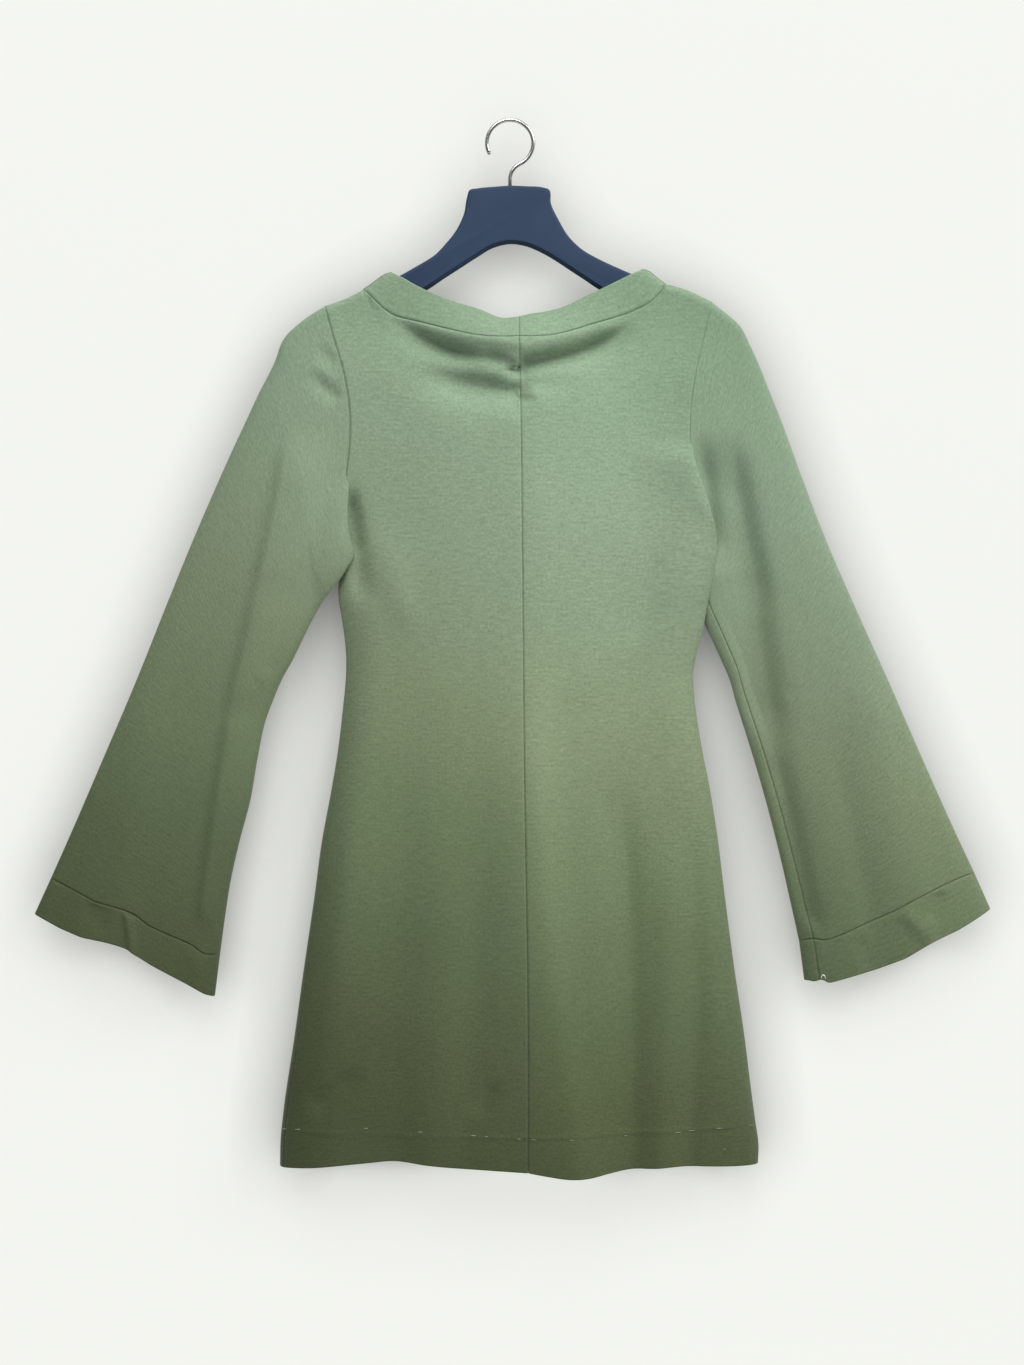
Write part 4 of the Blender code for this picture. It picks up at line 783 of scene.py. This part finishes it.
def smooth_table(rows):
    """Values between a table's rows without corners, asked for by the first column."""
    rows = np.array(rows, float)
    fine = np.linspace(rows[0, 0], rows[-1, 0], 201)
    ends = [fine[0], fine[-1]]
    weight = np.exp(-(((fine[:, None] - fine[None]) / WAVE_SOFTNESS) ** 2))
    columns = []
    for k in range(rows.shape[1]):
        straight = np.interp(fine, rows[:, 0], rows[:, k])
        soft = (weight * straight[None]).sum(1) / weight.sum(1)
        columns.append(soft + np.interp(fine, ends, [straight[0] - soft[0], straight[-1] - soft[-1]]))
    return lambda at: np.stack([np.interp(at, fine, column) for column in columns], axis=-1)


def sleeve_rings(side):
    """Points of a sleeve, rows from armhole to cuff seam, columns round from the shoulder by the back."""
    near, arm_rows, arm_shares = halves[side, True]
    far = halves[side, False][0]
    first = np.vstack([near[:arm_rows, -1], far[arm_rows - 2 : 0 : -1, -1]])
    seam_column = int(np.argmin(np.abs(arm_shares - UNDERARM_SEAM)))
    outer = curve(OUTER[side])
    inner = curve(INNER[side])
    line = inner(0.0) - outer(0.0)
    share = ((first[:, [0, 2]] - outer(0.0)) @ line) / (line @ line)
    share[0] = 0.0
    share[arm_rows - 1] = 1.0
    bow = first[:, [0, 2]] - (outer(0.0) + share[:, None] * line)
    facing = np.ones(len(share))
    facing[:arm_rows] = -1.0
    facing[[0, arm_rows - 1]] = 0.0
    round_off = np.clip(4 * share * (1 - share), 0.0, 1.0)
    fullness = round_off**SLEEVE_FULLNESS
    table = np.array(SLEEVE_DEPTH[side])
    waves = smooth_table(CUFF_WAVES[side])
    rings = []
    along = steps(outer.length, SLEEVE_PITCH)
    for t in along:
        half, sag, shift = [np.interp(t, table[:, 0], table[:, k]) for k in (1, 2, 3)]
        blend = ease(t / SLEEVE_BLEND)
        start = outer(t)
        across = inner(t**INNER_LAG) - start
        flat = start + share[:, None] * across + bow * (1 - ease(t / (2 * SLEEVE_BLEND)))
        depth = half * fullness * facing * (1 + SLEEVE_LEAN[side] * (share - 0.6)) - shift * share
        y = first[:, 1] * (1 - blend) + depth * blend
        x = flat[:, 0]
        wavy = ease((t - 0.8) / 0.2)
        z = flat[:, 1] + sag * round_off * (1 - wavy) + waves(share)[:, 1] * wavy
        level = np.minimum(1.0, round_off * 2.0) * ease(t / 0.02)
        y = y - facing * fold_shift(x, flat[:, 1], SLEEVE_FOLDS[side]) * level
        y = y + SLEEVE_LUMP_HIGH * facing * lumps(x, z, SLEEVE_LUMP, 11.0) * level
        dip = seam_roll(t * outer.length) * (t > 0) + seam_roll((1 - t) * outer.length)
        y = y - facing * dip * np.minimum(1.0, round_off * 6.0)
        beside = (share - share[seam_column]) * np.hypot(*across)
        y = y - facing * seam_roll(beside) * (facing == UNDERARM_SIDE[side]) * ease(t / 0.01)
        if side == "left":
            away = np.hypot(flat[:, 0] - first[:, 0], flat[:, 1] - first[:, 2])
            reach = roll_reach(side, first[:, 2])
            on_back = ease((0.4 - facing) / 1.4)
            over = roll(away, ROLL_PEAK) * on_back
            x = x + (reach + np.minimum(reach, 1.0) * ROLL_PEAK) * over
            y = y - ROLL_RISE[side] * ease(reach / ROLL_FULL) * roll(away, ROLL_TOP) * on_back
            z = z + ROLL_LIFT * ease((LIFT_FROM - first[:, 2]) / LIFT_RUN) * over
        rings.append(np.stack([x, y, z], axis=-1))
    rings = np.array(rings)
    middle = rings[len(rings) // 2]
    round_run = np.concatenate([[0.0], np.cumsum(np.linalg.norm(np.diff(middle, axis=0), axis=1))])
    uv = np.stack(np.meshgrid(round_run, -along * outer.length), axis=-1)
    return rings, uv, share, facing, fullness


cuff_starts = {}
for side in ("left", "right"):
    rings, uv, share, facing, fullness = sleeve_rings(side)
    cuff_starts[side] = (rings[-1], uv[-1], share, facing, fullness)
    piece = cloth("sleeve_cloth_" + side, "sleeve_" + side, rings, uv, closed=True)

# Cuffs: bands of the same jersey, joined into rings and folded along the lower edge, both layers
# sewn to the end of the sleeve. The right one is open for a few millimetres where its ends meet.
CUFF_OUTER = {"left": [(-436, -718.2), (-451.2, -751.4)], "right": [(440.8, -712.5), (456, -746.7)]}
CUFF_INNER = {"left": [(-275.5, -791.3), (-280.2, -829.3)], "right": [(274.6, -778), (279.3, -814.1)]}
CUFF_WIDENS = 1.0
CUFF_FOLDS = {
    "left": [
        (-364.5, -738, -360.5, -762, -357, -796, 3.6, 5.5, -2.4, 0.25, 0),
        (-404, -736, -392, -752, -378, -770, 12, 12, 2, 0.4, 0.3),
        (-300, -780, -296, -800, -292, -826, 8, 8, -1.6, 0.3, 0),
    ],
    "right": [
        (366, -742, 383, -760, 403, -782, 8, 8, -2.6, 0.3, 0),
        (406, -726, 402, -742, 397, -760, 8, 9, 2.4, 0.3, 0.3),
        (330, -770, 334, -786, 340, -806, 9, 9, 1.4, 0.3, 0),
    ],
}
CUFF_TURN = 1.1
CUFF_HIGH = 37.0
CUFF_ROW = 2.4
for side in ("left", "right"):
    seam_ring, seam_uv, share, facing, fullness = cuff_starts[side]
    outer = curve(CUFF_OUTER[side])
    inner = curve(CUFF_INNER[side])
    waves = smooth_table(CUFF_WAVES[side])(share)
    round_off = np.clip(4 * share * (1 - share), 0.0, 1.0)
    rings = []
    down = steps(CUFF_HIGH, CUFF_ROW)
    for t in down:
        start = outer(t)
        flat = start + share[:, None] * (inner(t) - start)
        fresh = CUFF_WIDENS * t * fullness * facing
        dip = (seam_roll(t * CUFF_HIGH) - seam_roll(0.0)) * np.minimum(1.0, round_off * 6.0)
        y = seam_ring[:, 1] + fresh - facing * dip
        z = flat[:, 1] + waves[:, 1] * (1 - t) + waves[:, 2] * t
        bent = fold_shift(flat[:, 0], z, CUFF_FOLDS[side]) * np.minimum(1.0, round_off * 2.0)
        y = y - facing * (bent * ease(t / 0.15))
        rings.append(np.stack([flat[:, 0], y, z], axis=-1))
    rings = np.array(rings)
    uv = seam_uv[None] - np.stack(np.broadcast_arrays(0.0, down[:, None] * CUFF_HIGH + 0 * share), axis=-1)
    rings, uv = turn_under(rings, uv, CUFF_TURN, range(rings.shape[0] - 1, -1, -1), closed=True)
    piece = cloth("cuff_cloth_" + side, "cuff_" + side, rings, uv, closed=True)

# Loose end of sewing thread: undyed polyester, left standing as a small loop at the lower edge of the
# right cuff, where the seam that closes the band stops short.
THREAD_AT = (296.4, -812.6)
THREAD_RADIUS = 0.38
LOOP_RADIUS = 2.7
lowest = rings.reshape(-1, 3)
away = np.hypot(lowest[:, 0] - THREAD_AT[0], lowest[:, 2] - THREAD_AT[1])
away = np.where(lowest[:, 1] > 0.0, np.inf, away)
foot = Vector((THREAD_AT[0], lowest[np.argmin(away), 1] - 0.3, THREAD_AT[1])) * MM
loop_start = foot + Vector((LOOP_RADIUS * MM, 0.0, 0.0))
loop = bmesh.new()
ring = bmesh.ops.create_circle(loop, segments=10, radius=THREAD_RADIUS * MM)["verts"]
bmesh.ops.translate(loop, verts=ring, vec=loop_start)
bmesh.ops.spin(loop, geom=list(loop.edges), cent=foot, axis=(0, 1, 0), angle=-np.pi, steps=14)
bmesh.ops.holes_fill(loop, edges=[e for e in loop.edges if e.is_boundary], sides=0)
bmesh.ops.scale(loop, verts=loop.verts, vec=(0.75, 1.0, 1.25), space=Matrix.Translation(-foot))
bmesh.ops.recalc_face_normals(loop, faces=loop.faces)
undyed_thread = spun_polyester("polyester thread, undyed", "#D8D8CE", "#F2F2EA")
in_part(as_object("loose_thread", loop, undyed_thread))

# Hanger: one moulding of dark slate polypropylene, a flat bar with a head and with rounded edges.
# The head has a socket for the hook, and the dress's shoulders lie on the bar's top edge.
HANGER_HALF = 4.5
HANGER_EDGE = 2.6
HANGER_CHAMFER = 3.4
CHAMFER_REACH = 150.0
HANGER_TOP = [
    (-104.5, -146.3), (-90.2, -138.2), (-78.8, -131.6), (-72.2, -127.3), (-61.8, -116.8), (-51.3, -103.5),
    (-43.7, -87.4), (-40.9, -72.2), (-38.5, -65.1), (-30.4, -63.3), (-16.1, -61.9), (1.9, -60.8),
    (14.2, -61.3), (32.3, -62.7), (36.6, -64.1), (38.9, -77.9), (46.5, -94), (55.1, -108.3),
    (67.5, -120.6), (85.5, -131.1), (100.7, -138.2), (114.9, -144.4),
]
HANGER_BOTTOM = [
    (-203, -203), (-201, -206.5), (-197.4, -208), (-188.1, -207.1), (-175.8, -203.3), (-156.8, -197.1),
    (-139.7, -189), (-123.5, -181.4), (-104.5, -172.4), (-78.8, -159.6), (-61.8, -148.2), (-51.3, -141.5),
    (-32.3, -129.2), (-16.1, -119.7), (1.9, -115.9), (14.2, -117.8), (32.3, -125.4), (46.5, -133.9),
    (57.9, -141.5), (67.5, -147.7), (85.5, -159.6), (100.7, -167.7), (114.9, -174.8), (126.3, -179.5),
    (147.2, -185.2), (169.1, -190.9), (191.9, -199.5), (201.4, -203.3), (208.9, -206), (213, -205),
    (215, -202),
]
ARM_CLEAR = 3.2


def polypropylene(name):
    """Moulded polypropylene, dark slate: satin, with a faint unevenness of the mould and light scuffs."""
    material, tree, shader = blank(name, {"IOR": 1.49, "Specular IOR Level": 0.35})
    place = add(tree, "TexCoord", {}, {})
    cloudy = add(tree, "TexNoise", {"Scale": 30.0, "Detail": 3.0}, {"Vector": place.outputs["Object"]})
    between = {"data_type": "RGBA", 6: linear("#21354F"), 7: linear("#283D58")}
    tint = add(tree, "Mix", between, {0: cloudy})
    tree.links.new(tint.outputs[2], shader.inputs["Base Color"])
    fine = add(tree, "TexNoise", {"Scale": 900.0, "Detail": 2.0}, {"Vector": place.outputs["Object"]})
    gloss = add(tree, "MapRange", {"To Min": 0.62, "To Max": 0.74}, {"Value": fine})
    tree.links.new(gloss.outputs[0], shader.inputs["Roughness"])
    skin = add(tree, "Bump", {"Strength": 0.15, "Distance": 0.0002}, {"Height": fine})
    tree.links.new(skin.outputs["Normal"], shader.inputs["Normal"])
    return material


left_arm = OUTER["left"][4:0:-1] + SHOULDER["left"][::-1]
right_arm = SHOULDER["right"] + OUTER["right"][1:5]
top_line = [(x, z - ARM_CLEAR) for x, z in left_arm] + HANGER_TOP
top_line += [(x, z - ARM_CLEAR) for x, z in right_arm]
top_line = [(x, z) for x, z in top_line if HANGER_BOTTOM[0][0] < x < HANGER_BOTTOM[-1][0]]
top_line = [tuple(p) for p in curve(top_line)(np.linspace(0.0, 1.0, 260))]
outline = top_line + [tuple(p) for p in curve(HANGER_BOTTOM)(np.linspace(1.0, 0.0, 240))][1:-1]
bar = bmesh.new()
corners = [bar.verts.new((x * MM, -HANGER_HALF * MM, z * MM)) for x, z in outline]
side_face = bar.faces.new(corners)
pushed = bmesh.ops.extrude_face_region(bar, geom=[side_face])
far_corners = [g for g in pushed["geom"] if isinstance(g, bmesh.types.BMVert)]
bmesh.ops.translate(bar, verts=far_corners, vec=(0.0, 2 * HANGER_HALF * MM, 0.0))
bmesh.ops.recalc_face_normals(bar, faces=bar.faces)
below = {v for v in corners[len(top_line) :] if abs(v.co.x) < CHAMFER_REACH * MM}
lower_rim = [e for e in bar.edges if e.verts[0] in below and e.verts[1] in below]
edges_only = {"affect": "EDGES", "material": -1}
cut = bmesh.ops.bevel(bar, geom=lower_rim, offset=HANGER_CHAMFER * MM, segments=1, **edges_only)
cut = {v for face in cut["faces"] for v in face.verts}
rims = [e for e in bar.edges if abs(e.verts[0].co.y - e.verts[1].co.y) < 1e-6]
rims = [e for e in rims if e.verts[0] not in cut and e.verts[1] not in cut]
rounding = {"offset": HANGER_EDGE * MM, "segments": 4, "profile": 0.5, "clamp_overlap": True}
bmesh.ops.bevel(bar, geom=rims, **rounding, **edges_only)
for edge in bar.edges:
    edge.smooth = bool(edge.calc_face_angle() < np.radians(30.0))
moulded = polypropylene("polypropylene, moulded")
in_part(as_object("hanger_bar", bar, moulded), "hanger")

# Hook: one length of round drawn steel wire, bent to an arc over the rail and back into the head.
# The photo cuts it off, so it is a usual plain one; its tip is rounded.
HOOK_WIRE = 2.0
HOOK_INNER = 20.0
HOOK_TIP_ANGLE = 205.0
HOOK_TURN_ANGLE = -65.0
STEM_END = -74.0


def drawn_steel(name):
    """Drawn steel wire, plain: bright and smooth with fine lines along its length."""
    material, tree, shader = blank(name, {"Base Color": linear("#C4C4C1"), "Metallic": 1.0})
    place = add(tree, "TexCoord", {}, {})
    lines = add(tree, "TexNoise", {"Scale": 700.0, "Detail": 3.0}, {"Vector": place.outputs["Object"]})
    gloss = add(tree, "MapRange", {"To Min": 0.2, "To Max": 0.34}, {"Value": lines})
    tree.links.new(gloss.outputs[0], shader.inputs["Roughness"])
    return material


def swept(edges, centre, angle, count):
    """Carries the wire's round end along an arc, and gives back the new end."""
    spun = bmesh.ops.spin(hook, geom=edges, cent=centre, axis=(0, 1, 0), angle=angle, steps=count)
    return [g for g in spun["geom_last"] if isinstance(g, bmesh.types.BMEdge)]


hook = bmesh.new()
tip = np.radians(HOOK_TIP_ANGLE)
reach = HOOK_INNER + HOOK_WIRE
middle = Vector((0.0, 0.0, -HOOK_INNER * MM))
tip_at = middle + Vector((np.cos(tip), 0.0, np.sin(tip))) * reach * MM
ring = bmesh.ops.create_circle(hook, segments=18, radius=HOOK_WIRE * MM)["verts"]
bmesh.ops.translate(hook, verts=ring, vec=tip_at)
bmesh.ops.rotate(hook, verts=ring, cent=tip_at, matrix=Matrix.Rotation(-tip, 3, "Y"))
sweep = np.radians(HOOK_TIP_ANGLE - HOOK_TURN_ANGLE)
edges = swept(list(hook.edges), middle, sweep, 54)
turn_from = np.radians(HOOK_TURN_ANGLE)
end_x = reach * np.cos(turn_from)
end_z = -HOOK_INNER + reach * np.sin(turn_from)
heading = np.arctan2(-np.cos(turn_from), np.sin(turn_from))
bend = end_x / (1.0 + np.sin(heading))
bend_middle = Vector(((end_x - bend * np.sin(heading)) * MM, 0.0, (end_z + bend * np.cos(heading)) * MM))
edges = swept(edges, bend_middle, heading + np.pi / 2, 10)
drawn = bmesh.ops.extrude_edge_only(hook, edges=edges)
ends = [g for g in drawn["geom"] if isinstance(g, bmesh.types.BMVert)]
drop = STEM_END * MM - sum(v.co.z for v in ends) / len(ends)
bmesh.ops.translate(hook, verts=ends, vec=(0.0, 0.0, drop))
bmesh.ops.holes_fill(hook, edges=[e for e in hook.edges if e.is_boundary], sides=0)
cap = bmesh.ops.create_uvsphere(hook, u_segments=18, v_segments=10, radius=HOOK_WIRE * MM)["verts"]
bmesh.ops.translate(hook, verts=cap, vec=tip_at)
bmesh.ops.recalc_face_normals(hook, faces=hook.faces)
in_part(as_object("hook_wire", hook, drawn_steel("steel wire, drawn")), "hanger_hook")

# Studio: a pale opal panel just behind the dress, softly lit from behind, a pale floor well below it,
# a large soft light above the camera and another far to the right. None of it is part of the object.
WALL_AT = 0.036
FLOOR_AT = -1.9
WALL_HALF = 3.0
FLOOR_HALF = 1.3


def pale(name, code, glow, hide_back):
    """A matt, pale surface: painted, or opal acrylic lit from behind, which shows from the front only."""
    settings = {"Roughness": 0.95, "Specular IOR Level": 0.1}
    settings.update({"Emission Color": linear("#F3F4EF"), "Emission Strength": glow})
    material, tree, shader = blank(name, settings)
    place = add(tree, "TexCoord", {}, {})
    cloudy = add(tree, "TexNoise", {"Scale": 2.0}, {"Vector": place.outputs["Object"]})
    tint = add(tree, "MapRange", {"To Min": 0.99, "To Max": 1.01}, {"Value": cloudy})
    multiply = {"data_type": "RGBA", "blend_type": "MULTIPLY", 0: 1.0, 6: linear(code)}
    painted = add(tree, "Mix", multiply, {7: tint})
    tree.links.new(painted.outputs[2], shader.inputs["Base Color"])
    if hide_back:
        # Painted shadow: the panel's glow is darkened by ambient occlusion beside and behind the cloth that
        # hangs close in front of it
        painted_shadow_occlusion = add(tree, "AmbientOcclusion", {"samples": 16, "Distance": 0.065}, {})
        shadowed_glow = add(tree, "Math", {"operation": "MULTIPLY", 1: glow}, {0: painted_shadow_occlusion.outputs["AO"]})
        tree.links.new(shadowed_glow.outputs[0], shader.inputs["Emission Strength"])
        side_seen = add(tree, "NewGeometry", {}, {})
        clear = add(tree, "BsdfTransparent", {}, {})
        faces = {0: side_seen.outputs["Backfacing"], 1: shader, 2: clear}
        mixed = add(tree, "MixShader", {}, faces)
        tree.links.new(mixed.outputs[0], tree.nodes["Material Output"].inputs["Surface"])
    return material


def stage_plane(name, size, location, turn, material):
    """A square of the studio."""
    square = bmesh.new()
    bmesh.ops.create_grid(square, x_segments=1, y_segments=1, size=size)
    bmesh.ops.rotate(square, verts=square.verts, cent=(0.0, 0.0, 0.0), matrix=Matrix.Rotation(turn, 3, "X"))
    bmesh.ops.translate(square, verts=square.verts, vec=location)
    as_object(name, square, material)


opal = pale("opal acrylic, cast", "#686966", 0.84, True)
stage_plane("studio_wall", WALL_HALF, (0.0, WALL_AT, 1.0), np.pi / 2, opal)
floor_paint = pale("emulsion paint, rolled", "#ECEDE8", 0.0, False)
stage_plane("studio_floor", FLOOR_HALF, (0.0, 0.0, FLOOR_AT), 0.0, floor_paint)


def soft_light(name, size, location, aim, energy, colour):
    """A soft box."""
    lamp = bpy.data.lights.new(name, "AREA")
    lamp.size = size
    lamp.energy = energy
    lamp.color = linear(colour)[:3]
    box = bpy.data.objects.new(name, lamp)
    bpy.context.scene.collection.objects.link(box)
    box.location = location
    box.rotation_euler = (Vector(aim) - Vector(location)).to_track_quat("-Z", "Y").to_euler()


soft_light("front_light", 4.5, (-0.6, -4.4, 4.2), (0.0, 0.0, -0.5), 375.0, "#FFFFFF")
soft_light("side_light", 7.0, (10.0, -6.2, 6.4), (0.0, 0.0, -0.5), 1400.0, "#FFFFFF")
world = bpy.data.worlds.new("studio air")
world.use_nodes = True
world.node_tree.nodes["Background"].inputs["Color"].default_value = linear("#FFFFFF")
world.node_tree.nodes["Background"].inputs["Strength"].default_value = 0.12
bpy.context.scene.world = world
bpy.context.scene.view_settings.view_transform = "Standard"
